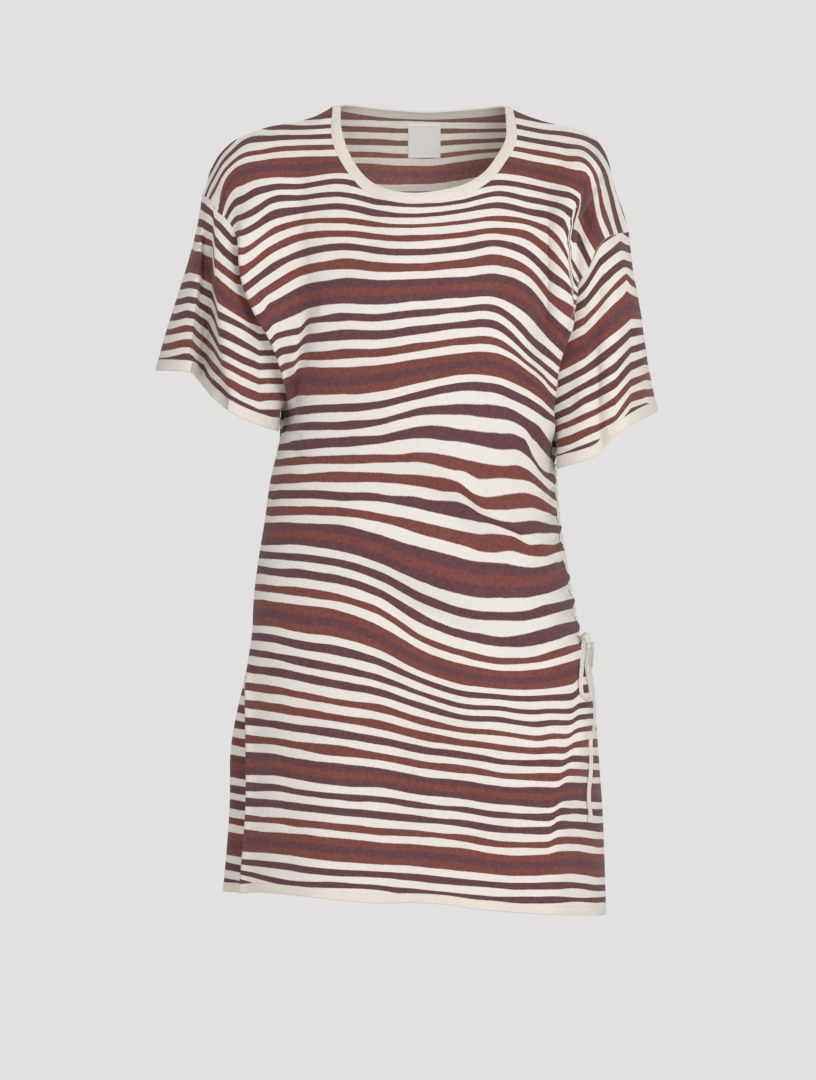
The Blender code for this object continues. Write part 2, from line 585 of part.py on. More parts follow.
def channel(front, back):
    """The cord's casing: a tape lying over the seam, thickest over the cord inside it."""
    level = front.grid[:, -1, 2]
    rows = np.where((level < CHANNEL_TOP + 2) & (level > CHANNEL_END - 2))[0]
    lines = []
    for place, thick in CHANNEL_SECTION:
        sheet = front if place >= 0 else back
        seam, near = sheet.grid[rows, -1], sheet.grid[rows, -2]
        part = (abs(place) * CHANNEL_HALF / np.linalg.norm(near - seam, axis=1))[:, None]
        middle = seam + (near - seam) * part
        out = unit(sheet.normals[rows, -1] * (1 - part) + sheet.normals[rows, -2] * part)
        base = middle + out * (WALL / 2 + CHANNEL_LIFT)
        lines.append((base, base + out * thick))
    inner = np.stack([line[0] for line in lines], 1)
    outer = np.stack([line[1] for line in lines], 1)
    return wall("drawcord_channel", Sheet((inner + outer) / 2), outer, inner, "cream knit")


def label(back):
    """A woven patch inside the back of the neck, a little inside the panel's wall."""
    x0, x1, z0, z1 = LABEL
    rows, cols = 6, back.grid.shape[1]
    both = np.concatenate([back.grid[: rows + 1], back.normals[: rows + 1]], axis=2)
    fine = []
    for row in np.linspace(0, rows, 61):
        above = min(int(row), rows - 1)
        line = both[above] * (above + 1 - row) + both[above + 1] * (row - above)
        for at in np.linspace(cols // 2 - 4, cols // 2 + 4, 81):
            fine.append([np.interp(at, np.arange(cols), value) for value in line.T])
    fine = np.array(fine)
    points = []
    for z in np.linspace(z0, z1, LABEL_CELLS + 1):
        for x in np.linspace(x0, x1, LABEL_CELLS + 1):
            far = (fine[:, 0] - x) ** 2 + (fine[:, 2] - z) ** 2
            near = np.argsort(far)[:4]
            weight = 1 / (far[near] + 1e-3)
            points.append((fine[near] * weight[:, None]).sum(0) / weight.sum())
    points = np.array(points).reshape(LABEL_CELLS + 1, LABEL_CELLS + 1, 6)
    grid, out = points[..., :3], unit(points[..., 3:])
    near_side = grid - out * (WALL / 2 + LABEL_LIFT)
    return wall("label", Sheet(grid, flip=True), near_side, near_side - out * LABEL_WALL, "woven label")


def knot():
    """The bow's knot: a rounded wrap over the roots of the loops."""
    points, faces = [], []
    rings, sides = 9, 12
    for i in range(1, rings):
        polar = math.pi * i / rings
        for j in range(sides):
            angle = 2 * math.pi * j / sides
            wrap = math.sin(polar) * (1 + 0.07 * math.cos(2 * angle + 3 * polar))
            local = np.array([wrap * math.cos(angle), wrap * math.sin(angle), math.cos(polar)])
            points.append(KNOT + local * KNOT_SIZE)
    top, end = len(points), len(points) + 1
    points += [np.array(KNOT) + (0, 0, KNOT_SIZE[2]), np.array(KNOT) - (0, 0, KNOT_SIZE[2])]
    for i in range(rings - 2):
        for j in range(sides):
            a, b = i * sides + j, i * sides + (j + 1) % sides
            faces += [(a, a + sides, b + sides), (a, b + sides, b)]
    last = (rings - 2) * sides
    for j in range(sides):
        faces += [(top, j, (j + 1) % sides), (end, last + (j + 1) % sides, last + j)]
    return add_mesh("bow_knot", points, faces, "cream cord")


def main():
    for obj in list(bpy.data.objects):
        bpy.data.objects.remove(obj)

    front_places, front_grid = panel("front", FRONT_NECK_CELLS)
    back_places, back_grid = panel("back", BACK_NECK_CELLS)
    # one seam line for both panels
    for column in (0, -1):
        seam = (front_grid[:, column] + back_grid[:, column]) / 2
        front_grid[YOKE_CELLS:, column] = back_grid[YOKE_CELLS:, column] = seam[YOKE_CELLS:]
    front, back = Sheet(front_grid), Sheet(back_grid, flip=True)
    sleeves = {side: Sheet(sleeve(side), closed=True, flip=side == "left") for side in ("right", "left")}

    # Neckband: seam and free edge, all the way round, with a little crown between them
    neck_f = front_places[np.abs(front_places) <= NECK_PART] / NECK_PART
    neck_b = back_places[np.abs(back_places) <= NECK_PART][1:-1][::-1] / NECK_PART
    loop = np.concatenate([through(NECK_FRONT, neck_f), through(NECK_BACK, neck_b)])
    seam, edge = loop[:, :3], loop[:, 3:]
    centre = loop.mean(axis=0)
    middle = (seam + edge) / 2
    rise = middle + unit(middle - (centre[:3] + centre[3:]) / 2 + [0, 0, 25]) * 0.7
    neckband = Sheet(np.stack([edge, rise, seam]), closed=True)

    # Hem band: below both panels' last rows
    last = np.concatenate([front_grid[-1], back_grid[-1][1:-1][::-1]])
    above = np.concatenate([front_grid[-2], back_grid[-2][1:-1][::-1]])
    down = unit(unit(last - above) + np.array([0, 0, -2.0]))
    hem = Sheet(np.stack([last, last + down * HEM_WIDTH]), closed=True)

    cuffs = {side: Sheet(s.grid[-2:], closed=True, flip=s.flip) for side, s in sleeves.items()}
    for sheet in sleeves.values():
        sheet.grid = sheet.grid[:-1]
    share_normals([front, back, neckband, hem, *sleeves.values(), *cuffs.values()])

    cloth("front_panel", front, WALL, "striped knit")
    cloth("back_panel", back, WALL, "striped knit")
    for side in ("right", "left"):
        cloth(f"sleeve_{side}", sleeves[side], WALL, "striped knit")
        cloth(f"cuff_{side}", cuffs[side], BAND_WALL, "cream knit", (True, False, True, True))
    cloth("neckband", neckband, BAND_WALL, "cream knit", (False, True, True, True))
    cloth("hem_band", hem, BAND_WALL, "cream knit", (True, False, True, True))
    channel(front, back)
    label(back)
    knot()
    for name, path in CORDS.items():
        run = np.linalg.norm(np.diff(path, axis=0), axis=1).sum()
        tube(name, along(path, np.linspace(0, 1, int(run / CORD_STEP))))


main()
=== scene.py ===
# %% [markdown]
# # A striped knit dress with one gathered side
# A t-shirt dress is a handful of flat jersey pieces sewn into a tube: a front, a back, two short wide
# sleeves, and doubled bands round every opening. Worn, it is nearly all soft folds, and the stripes show
# every one of them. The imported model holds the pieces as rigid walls. This script gives each of them its
# knit, its finer folds and its stitching, in the same place and at the same size.

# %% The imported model
import math

import bpy
import numpy as np
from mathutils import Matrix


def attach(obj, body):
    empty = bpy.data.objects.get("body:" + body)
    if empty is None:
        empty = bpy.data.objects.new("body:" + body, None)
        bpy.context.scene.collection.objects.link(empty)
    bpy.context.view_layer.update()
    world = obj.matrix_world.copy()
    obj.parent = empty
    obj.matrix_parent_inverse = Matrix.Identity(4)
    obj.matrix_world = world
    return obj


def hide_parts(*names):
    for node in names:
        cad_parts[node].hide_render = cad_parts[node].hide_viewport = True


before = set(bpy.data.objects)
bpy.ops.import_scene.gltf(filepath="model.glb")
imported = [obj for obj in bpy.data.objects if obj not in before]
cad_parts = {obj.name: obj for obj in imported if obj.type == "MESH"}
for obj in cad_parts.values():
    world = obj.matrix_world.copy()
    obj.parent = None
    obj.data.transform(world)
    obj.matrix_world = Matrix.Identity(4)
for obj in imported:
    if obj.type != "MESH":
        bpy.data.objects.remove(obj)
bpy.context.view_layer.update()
print("pieces in the frame:", ", ".join(sorted(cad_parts)))

# %% [markdown]
# ## Viewpoint and light
# The dress is seen straight on from 4.5 m, level with its middle, through a long lens, so that it hardly
# tapers. Soft studio light comes from a large lamp on the viewer's right and a weaker one on the left, both
# a little above the dress and near the viewer, so that they also reach the inside of the neck. The surround
# keeps the shadows open. A plain pale floor lies well below the hem. It lets a camera under it look up at
# the hem, because its underside is clear.

# %% Camera
MILLIMETRE = 0.001
EYE = np.array([-13.0, -4500.0, -472.0])  # millimetres, as all the tables below
VIEW_HEIGHT = 1177.0  # height of the view where the dress hangs
SENSOR = 36.0


def new_object(name, data):
    """A new object at the origin of the scene."""
    obj = bpy.data.objects.new(name, data)
    bpy.context.scene.collection.objects.link(obj)
    return obj


camera_data = bpy.data.cameras.new("camera")
camera_data.sensor_width = SENSOR
camera_data.lens = SENSOR * -EYE[1] / VIEW_HEIGHT
camera = new_object("camera", camera_data)
camera.location = EYE * MILLIMETRE
camera.rotation_euler = (math.radians(90), 0, 0)
bpy.context.scene.camera = camera
print(f"lens {camera_data.lens:.1f} mm")

# %% Lamps and surround
SURROUND = (0.760, 0.752, 0.738, 1)
FILL = 0.54


def soft_lamp(name, place, target, size, watts, colour):
    """A square area lamp that looks at a target. Lamps light the cloth but never show themselves."""
    lamp = bpy.data.lights.new(name, "AREA")
    lamp.size, lamp.energy, lamp.color = size, watts, colour
    obj = new_object(name, lamp)
    obj.location = place
    way = np.array(target) - np.array(place)
    tilt = math.pi / 2 - math.atan2(-way[2], math.hypot(way[0], way[1]))
    obj.rotation_euler = (tilt, 0, math.atan2(-way[0], way[1]))
    obj.visible_camera = False


def mix_shaders(tree, choice, first, second, target):
    """The second shader where the choice is 1, and the first elsewhere."""
    either = tree.nodes.new("ShaderNodeMixShader")
    tree.links.new(choice, either.inputs["Fac"])
    tree.links.new(first, either.inputs[1])
    tree.links.new(second, either.inputs[2])
    tree.links.new(either.outputs["Shader"], target)


soft_lamp("key lamp", (1.5, -3.3, 0.3), (0, 0, -0.45), 1.5, 54, (1, 0.985, 0.965))
soft_lamp("fill lamp", (-1.3, -3.4, 0.5), (0, 0, -0.5), 1.8, 20, (1, 0.99, 0.975))

world = bpy.data.worlds.new("surround")
world.use_nodes = True
tree = world.node_tree
tree.nodes.clear()
shown = tree.nodes.new("ShaderNodeBackground")
shown.inputs["Color"].default_value = SURROUND
cast = tree.nodes.new("ShaderNodeBackground")
cast.inputs["Color"].default_value = (1, 0.985, 0.965, 1)
cast.inputs["Strength"].default_value = FILL
path = tree.nodes.new("ShaderNodeLightPath")
surround_out = tree.nodes.new("ShaderNodeOutputWorld")
mix_shaders(tree, path.outputs["Is Camera Ray"], cast.outputs["Background"], shown.outputs["Background"],
            surround_out.inputs["Surface"])
bpy.context.scene.world = world
bpy.context.scene.view_settings.view_transform = "Standard"
print("two lamps and a pale surround")

# %% Floor
FLOOR_HEIGHT, FLOOR_HALF = -1.36, 2.0
floor_data = bpy.data.meshes.new("floor")
floor_data.from_pydata(
    [(x * FLOOR_HALF, y * FLOOR_HALF, FLOOR_HEIGHT) for x, y in ((-1, -1), (1, -1), (1, 1), (-1, 1))],
    [],
    [(0, 1, 2, 3)],
)
floor = new_object("floor", floor_data)
pale = bpy.data.materials.new("pale floor")
pale.use_nodes = True
tree = pale.node_tree
plain = tree.nodes["Principled BSDF"]
plain.inputs["Base Color"].default_value = (0.74, 0.73, 0.715, 1)
plain.inputs["Roughness"].default_value = 0.95
side = tree.nodes.new("ShaderNodeNewGeometry")
clear = tree.nodes.new("ShaderNodeBsdfTransparent")
mix_shaders(tree, side.outputs["Backfacing"], plain.outputs["BSDF"], clear.outputs["BSDF"],
            tree.nodes["Material Output"].inputs["Surface"])
floor_data.materials.append(pale)
print(f"floor at {FLOOR_HEIGHT} m")

# %% [markdown]
# ## The drawcord's route
# A flat cotton cord comes out of the casing at the lower end of the gathered seam and is tied there in a
# small bow: two loops and two hanging ends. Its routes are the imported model's own, so they are repeated
# here point by point. They come first, because where a cord lies decides whether the rest of the dress
# leaves room for it.

# %% Cord routes
CORD_WIDTH, CORD_THICKNESS = 4.5, 2.3
CORDS = {
    "cord_end_long": [
        (182.6, -15.8, -588.1), (183.2, -21, -595), (182.4, -33, -606), (185.4, -37, -626),
        (187.6, -37, -645), (188.4, -36, -654), (187.2, -47, -674), (183.3, -61.5, -688), (183.8, -61, -710),
        (183.1, -62.5, -725), (181.3, -65.5, -741), (181.2, -66.5, -752), (182.8, -64.5, -769),
        (181.4, -67.5, -775),
    ],
    "cord_loop_front": [
        (178.4, -23.1, -579.4), (176.4, -36, -585), (174.9, -50, -598), (173.5, -61.5, -613),
        (172.6, -66.5, -627), (174.0, -66, -638), (178.4, -61, -643.5), (182.8, -52, -641),
        (183.8, -48, -634), (181.7, -50, -622), (179.4, -49, -609), (179.4, -38, -596),
        (180.6, -21.6, -585.3),
    ],
    "cord_loop_back": [
        (186.8, -13.1, -582.2), (187.6, -9.5, -591), (186.4, -5.5, -601), (186.2, 1, -609), (184.6, 8, -611),
        (182.0, 14, -605), (180.4, 13, -595), (180.8, 3, -587.5), (181.8, -9.4, -583.6),
    ],
    "cord_end_short": [
        (178.2, -9.0, -579), (176.0, 4, -577.5), (174.6, 17, -583), (175.2, 27, -600), (179.2, 31, -620),
        (183.0, 33, -645), (187.0, 34, -668), (189.2, 35, -682),
    ],
}
KNOT = (179.5, -16.0, -579.8)
KNOT_SIZE = (5.6, 6.5, 7.4)
print(len(CORDS), "lengths of cord")

# %% [markdown]
# ## Smooth curves through short tables
# Everything on a garment runs along something: a neckline, a seam, a fold. Each such line is a short table
# of places, and one function reads a smooth curve through any of them. A cubic through three neighbours at
# a time passes through every row and never has a corner, which is how a seam hangs.

# %% Curves


def hermite(start, leave, end, arrive, t):
    """A cubic from start to end, with its two end slopes."""
    return (
        start * (1 + 2 * t) * (1 - t) ** 2
        + leave * t * (1 - t) ** 2
        + end * t * t * (3 - 2 * t)
        + arrive * t * t * (t - 1)
    )


def inner_slopes(step, slope):
    """The slope at each inner row of a table, from the steps and slopes on both sides of it."""
    return (step[1:] * slope[:-1] + step[:-1] * slope[1:]) / (step[1:] + step[:-1])


def through(rows, at):
    """Values of a table at the places asked, on a smooth curve. Its first column is the place."""
    rows = np.array(rows, float)
    rows = rows[np.argsort(rows[:, 0])]
    place, value = rows[:, 0], rows[:, 1:]
    step = np.diff(place)[:, None]
    slope = np.diff(value, axis=0) / step
    bend = np.vstack([slope[:1], inner_slopes(step, slope), slope[-1:]])
    at = np.clip(np.asarray(at, float), place[0], place[-1])
    i = np.clip(np.searchsorted(place, at, side="right") - 1, 0, len(place) - 2)
    t = ((at - place[i]) / step[i, 0])[..., None]
    return hermite(value[i], bend[i] * step[i], value[i + 1], bend[i + 1] * step[i], t)


def run_along(points):
    """How far along a line each of its points is."""
    return np.concatenate([[0], np.cumsum(np.linalg.norm(np.diff(points, axis=0), axis=1))])


def along(points, fractions):
    """Points at these fractions of the length of a smooth line through a list of points."""
    points = np.array(points, float)
    run = run_along(points)
    return through(np.column_stack([run / run[-1], points]), fractions)


def ease(t):
    """0 to 1 with level ends."""
    t = np.clip(t, 0, 1)
    return t * t * (3 - 2 * t)


def unit(vectors):
    """Each vector at length 1."""
    return vectors / np.maximum(np.linalg.norm(vectors, axis=-1, keepdims=True), 1e-12)


def refine(values, parts):
    """The same run of values with each step cut into equal parts."""
    values = np.asarray(values, float)
    steps = np.linspace(0, 1, parts, endpoint=False)
    return np.append((values[:-1, None] + np.diff(values)[:, None] * steps).ravel(), values[-1])


print("halfway along a route:", along(CORDS["cord_end_long"], np.array([0.5]))[0].round(1))

# %% [markdown]
# ## The cut of the dress
# The tables hold the seams as they hang on a general figure: neckline, shoulder seams, armholes, side seams
# and the depth of the body at each height. +Z is up, the front faces -Y, and +X is the wearer's left, the
# gathered side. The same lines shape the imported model's walls, here read about six times finer, so that
# both agree at every seam.

# %% Thicknesses and cells
SIDES = {"right": -1, "left": 1}  # the wearer's, and which way each lies on X
WALL, GAP = 1.6, 0.4
CUFF_WIDTH, HEM_WIDTH = 12.0, 10.0
SLANT = 37.0  # a course of the knit hangs this much lower at the ruched side
COLUMN_PARTS, ROW_PARTS = 6, 5
YOKE_CELLS = 16 * ROW_PARTS
GATHERS, GATHER_TOP, GATHER_END = 7, -396.0, -581.0
RUCHE_CELLS, SKIRT_CELLS = 10 * GATHERS, 80
PANEL_END = -874.5
NECK_PART = 0.62
SIDE_COLUMNS = (1.0, 0.970, 0.935, 0.890, 0.835, 0.77, 0.70)
FRONT_NECK_CELLS, BACK_NECK_CELLS = 16, 8
SLEEVE_CELLS = 56
GATHER_SLOPE = 45.0
GATHER_DEPTH = [(0, 0), (0.035, 1.1), (0.08, 3.4), (0.14, 3.6), (0.22, 2.2), (0.34, 0), (2, 0)]
SQUARENESS = 2.35
UNDERARM_DIP, DIP_REACH = 20.0, 14.0
UNDERARM_DIP_END, UNDERARM_DIP_FADE = -450.0, 88.0
FRONT_SAG, BACK_SAG = 3.0, 9.0
BACK_SAG_TOP, BACK_SAG_FADE = -500.0, 300.0
SECTION_POINTS = 401
print(f"{YOKE_CELLS} rows in the yoke, {RUCHE_CELLS + SKIRT_CELLS} below it")

# %% Neckline
# place, seam x, y, z, free edge of the band x, y, z
NECK_FRONT = [
    (-1.00, -95.0, 6, 0.0, -86.5, 8, 1.5),
    (-0.78, -95.5, -22, -33.8, -84.7, -20, -28.0),
    (-0.66, -91.0, -36, -51.3, -79.0, -33, -47.5),
    (-0.47, -75.0, -57, -79.9, -64.5, -53, -74.5),
    (-0.32, -57.1, -70, -99.2, -49.5, -65, -89.0),
    (-0.20, -37.0, -79, -107.9, -31.5, -74, -96.8),
    (-0.05, -7.7, -83, -112.5, -6.5, -78, -100.2),
    (0.08, 19.0, -82, -110.0, 17.0, -77, -98.0),
    (0.25, 51.6, -77, -101.3, 45.5, -72, -91.0),
    (0.41, 76.1, -66, -85.6, 67.5, -61, -77.5),
    (0.57, 93.2, -50, -62.8, 83.0, -45, -57.0),
    (0.71, 103.5, -34, -43.2, 92.3, -29, -38.5),
    (0.86, 104.0, -14, -21.0, 93.5, -10, -16.5),
    (1.00, 101.0, 6, -3.0, 92.5, 8, 0.5),
]
NECK_BACK = [
    (-1.0, -95.0, 6, 0.0, -86.5, 8, 1.5),
    (-0.8, -90.5, 23, -1.0, -81.5, 20, 4.0),
    (-0.6, -79.0, 38, -2.0, -71.0, 33, 5.0),
    (-0.3, -42.0, 56, -5.5, -38.0, 49, 3.0),
    (0.0, 5.0, 62, -7.5, 5.0, 54, 0.5),
    (0.3, 50.0, 56, -6.5, 46.0, 49, 2.0),
    (0.6, 86.0, 38, -5.0, 78.0, 33, 3.0),
    (0.8, 97.0, 23, -4.0, 87.5, 20, 2.5),
    (1.0, 101.0, 6, -3.0, 92.5, 8, 0.5),
]
print("neck opening", NECK_FRONT[-1][4] - NECK_FRONT[0][4], "mm wide")

# %% Shoulder seams and armholes
SHOULDER = {
    "right": [
        (-95, 6, 0), (-112, 6, -9.5), (-134, 6, -16.4), (-169, 6, -23), (-187, 6, -29.5), (-201, 6, -36),
        (-212, 6, -45), (-221, 6, -56), (-228, 6, -69), (-232, 5, -84), (-237, 5, -96),
    ],
    "left": [
        (101, 6, -3), (117, 6, -10), (137, 6, -16.5), (167, 6, -23), (183, 6, -29.5), (192, 6, -36),
        (201, 6, -49), (206, 6, -62), (209, 6, -76), (214, 6, -95), (221, 5, -114), (227, 5, -136),
    ],
}
ARMHOLE = {
    ("right", "front"): [
        (-237, 5, -96), (-225.6, -18, -105), (-220, -27, -116), (-210, -38, -125), (-201, -46, -137),
        (-193, -53, -162), (-188, -58, -196), (-174, -61, -230), (-156, -61, -260), (-146, -57, -285),
        (-142, -49, -304), (-142, -35, -316), (-143, -18, -322), (-145, 0, -324),
    ],
    ("right", "back"): [
        (-237, 5, -96), (-222, 30, -108), (-204, 48, -132), (-192, 60, -170), (-180, 65, -215),
        (-165, 62, -258), (-152, 48, -290), (-146, 26, -312), (-145, 0, -324),
    ],
    ("left", "front"): [
        (227, 5, -136), (214, -18, -140), (201, -38, -146), (189, -50, -161), (179.7, -57, -184),
        (166, -61, -201), (161, -62, -224), (157, -62, -242), (152, -61, -270), (147, -59, -291),
        (142, -56, -314), (139.5, -48, -336), (141, -34, -351), (142, -17, -360), (143, 0, -362),
    ],
    ("left", "back"): [
        (227, 5, -136), (213, 30, -142), (196, 50, -162), (182, 62, -196), (170, 66, -240), (158, 62, -285),
        (148, 48, -322), (143, 26, -349), (143, 0, -362),
    ],
}
print(len(ARMHOLE), "halves of the armholes")

# %% Body
# z, x and y of the wearer's right seam, x and y of the left seam, y of the front, y of the back
BODY = [
    (-300, -141, 0, 140, 0, -122, 92),
    (-345, -148, 0, 142, 0, -120, 88),
    (-372, -154, 0, 143, 0, -118, 86),
    (-407, -162, 0, 145.5, 0, -115, 86),
    (-450, -168, 0, 149, 0, -112, 90),
    (-494, -175, -2, 156, 0, -111, 98),
    (-537, -180, -8, 164, 0, -111, 108),
    (-581, -181, -16, 170.5, 0, -112, 116),
    (-625, -181, -20, 178, 0, -113, 119),
    (-690, -180, -22, 190.5, 0, -115, 120),
    (-755, -180, -22, 197, 0, -118, 121),
    (-821, -185, -22, 200, 0, -121, 123),
    (-890, -192, -22, 202, 0, -124, 125),
]
# panel, side, its top, where it is full, its end, x, y, place of its crest from the seam
LOBES = [
    ("front", "right", -128, -175, -335, -7, -20, 0.035),
    ("front", "right", -560, -640, -1100, -8, -16, 0.035),
    ("back", "right", -560, -715, -1100, -27, 14, 0.060),
    ("front", "left", -225, -270, -345, 2, -9, 0.050),
]
# How the cloth leaves the shoulder and the neckline: place (1 at the neck's side), outward, forward or
# back, up
LEAVING = {
    "front": [
        (0, 0, -0.39, -0.92), (0.4, 0.06, -0.44, -0.89), (0.6, 0.26, -0.46, -0.80),
        (0.75, 0.45, -0.48, -0.70), (0.88, 0.56, -0.52, -0.60), (1.0, 0.48, -0.60, -0.58),
        (1.13, 0.28, -0.70, -0.62), (1.24, 0.12, -0.75, -0.64), (1.35, 0.02, -0.76, -0.65),
        (1.7, 0, -0.76, -0.65),
    ],
    "back": [
        (0, 0, 0.50, -0.86), (0.5, 0.12, 0.56, -0.80), (0.8, 0.34, 0.62, -0.66), (1.0, 0.30, 0.76, -0.54),
        (1.13, 0.16, 0.82, -0.50), (1.35, 0, 0.86, -0.48), (1.7, 0, 0.88, -0.47),
    ],
}
print(f"body {BODY[-1][3] - BODY[-1][1]:.0f} mm across at the hem")

# %% Sleeve ends
# place round the cuff (0 outer, 18 underarm), x, y, z
CUFF = {
    "right": [
        (0, -288, 14, -287), (1, -282, -12, -288), (2, -268, -33, -289), (3, -248, -46, -291),
        (4, -243, -33, -296), (5, -238, -25, -302), (6, -229, -39, -311), (7, -221, -54, -319),
        (9, -203, -66, -335), (11, -183, -66, -345), (13, -166, -58, -351), (15, -155, -42, -354),
        (17, -156, -12, -353), (18, -161, 2, -350), (21, -172, 40, -336), (25, -203, 72, -321),
        (29, -244, 72, -284), (33, -276, 48, -279), (36, -288, 14, -287),
    ],
    "left": [
        (0, 259, 12, -331), (2, 251, -30, -336), (4, 236, -58, -343), (6, 216, -76, -355),
        (7, 204, -76, -364), (8, 196, -68, -375), (9, 190, -70, -381), (11, 173, -68, -388),
        (13, 158, -58, -392), (15, 149, -42, -395), (17, 153, -14, -393), (18, 160, 2, -389),
        (21, 174, 42, -374), (25, 200, 74, -356), (29, 230, 72, -334), (33, 252, 46, -323),
        (36, 259, 12, -331),
    ],
}
# How a sleeve leaves the armhole: place round it, outward, forward or back, up
SLEEVE_LEAVING = [
    (0, 0.10, 0, -1), (4, 0.55, -0.35, -0.75), (9, 0.75, -0.30, -0.60), (14, 0.85, -0.12, -0.45),
    (18, 1, 0, -0.15), (21, 1, 0.02, -0.15), (23, 0.85, 0.12, -0.40), (27, 0.75, 0.30, -0.60),
    (32, 0.55, 0.35, -0.75), (36, 0.10, 0, -1),
]
print("sleeve ends of", ", ".join(CUFF))

# %% [markdown]
# ## Folds
# A fold is a line on the cloth and a height. Broad ones are soft swells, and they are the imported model's
# own. Finer ones are only here: short creases under the arms, the tuck that starts the swags, and ripples
# on the shoulders. Pushing the cloth along its own outward direction keeps every seam where it is, which a
# simulation would not. A crease is a sharp valley, a ridge a narrow crest, and a lap is where one side lies
# on the other.

# %% Broad folds
# panel, name, height, breadth to -X, breadth to +X, then the line it runs along (x, z)
FOLDS = [
    ("front", "fold over the left armhole", 15, 30, 8,
        [(184, -80), (176, -103), (165, -127), (161, -145), (162, -200), (159, -232)]),
    ("front", "valley beside it", -8, 8, 9, [(184, -116), (175, -145), (174, -190)]),
    ("front", "left shoulder cap", 5, 8, 9, [(200, -74), (198, -100), (195, -122)]),
    ("front", "left underarm fold", 7, 24, 12,
        [(106, -214), (117, -248), (127, -280), (133, -318), (134, -350)]),
    ("front", "right underarm valley", -5, 13, 13, [(-126, -227), (-130, -254), (-135, -302), (-142, -344)]),
    ("front", "right bust fold", 5, 16, 26, [(-108, -240), (-112, -290), (-122, -345)]),
    ("front", "tuck", 7, 26, 18, [(30, -400), (60, -432), (86, -456), (118, -478)]),
    ("front", "valley under the tuck", -4, 18, 18, [(20, -425), (50, -460), (88, -490)]),
    ("front", "waist fold", 5, 20, 20, [(-70, -455), (0, -490), (70, -530), (130, -556)]),
    ("front", "upper swag valley", -5, 16, 18,
        [(-50, -518), (-30, -546), (-6, -570), (18, -607), (34, -628)]),
    ("front", "lower swag valley", -5, 16, 16, [(-20, -534), (30, -562), (78, -586), (120, -600)]),
    ("front", "hip fold", 5, 22, 22, [(-10, -585), (40, -622), (70, -680), (80, -760)]),
    ("front", "ridge down the left of the skirt", 9, 34, 20,
        [(166, -600), (166, -642), (162, -682), (156, -711), (147, -738), (143, -768), (138, -860)]),
    ("front", "skirt fold", 4, 26, 26, [(-95, -650), (-104, -760), (-112, -880)]),
    ("front", "skirt valley", -4, 30, 30, [(-20, -690), (-24, -780), (-26, -880)]),
    ("front", "right shoulder ripple", 3, 9, 9, [(-160, -26), (-150, -42), (-146, -60)]),
    ("front", "left shoulder ripple", 3, 9, 9, [(150, -26), (143, -42), (140, -60)]),
    ("front", "chest fold", 3, 30, 22, [(-20, -150), (-60, -210), (-92, -300)]),
    ("back", "right blade fold", 7, 22, 30, [(-150, -120), (-140, -190), (-136, -280), (-142, -340)]),
    ("back", "left blade fold", 7, 30, 22, [(150, -140), (140, -210), (136, -300), (139, -370)]),
    ("back", "waist fold", 7, 24, 24, [(-110, -380), (-50, -420), (20, -470), (90, -520), (140, -548)]),
    ("back", "waist valley", -6, 24, 24, [(-80, -430), (-20, -480), (50, -540), (120, -575)]),
    ("back", "hip fold", 6, 26, 26, [(-40, -520), (20, -580), (60, -660), (74, -760)]),
    ("back", "right skirt fold", 6, 28, 28, [(-120, -600), (-132, -720), (-140, -880)]),
    ("back", "middle skirt valley", -5, 30, 30, [(-50, -640), (-54, -760), (-58, -880)]),
    ("back", "left skirt fold", 7, 28, 24, [(140, -610), (142, -740), (140, -880)]),
]
SLEEVE_FOLDS = [
    ("left", "fold down the sleeve", 5, 12, 16, [(206, -215), (204, -270), (208, -330)]),
    ("left", "crease at the cap", 4, 10, 8, [(219, -160), (226, -195), (236, -240), (240, -275)]),
    ("right", "front of the sleeve", 5, 14, 22, [(-222, -160), (-218, -230), (-212, -300)]),
]
print(len(FOLDS) + len(SLEEVE_FOLDS), "broad folds")

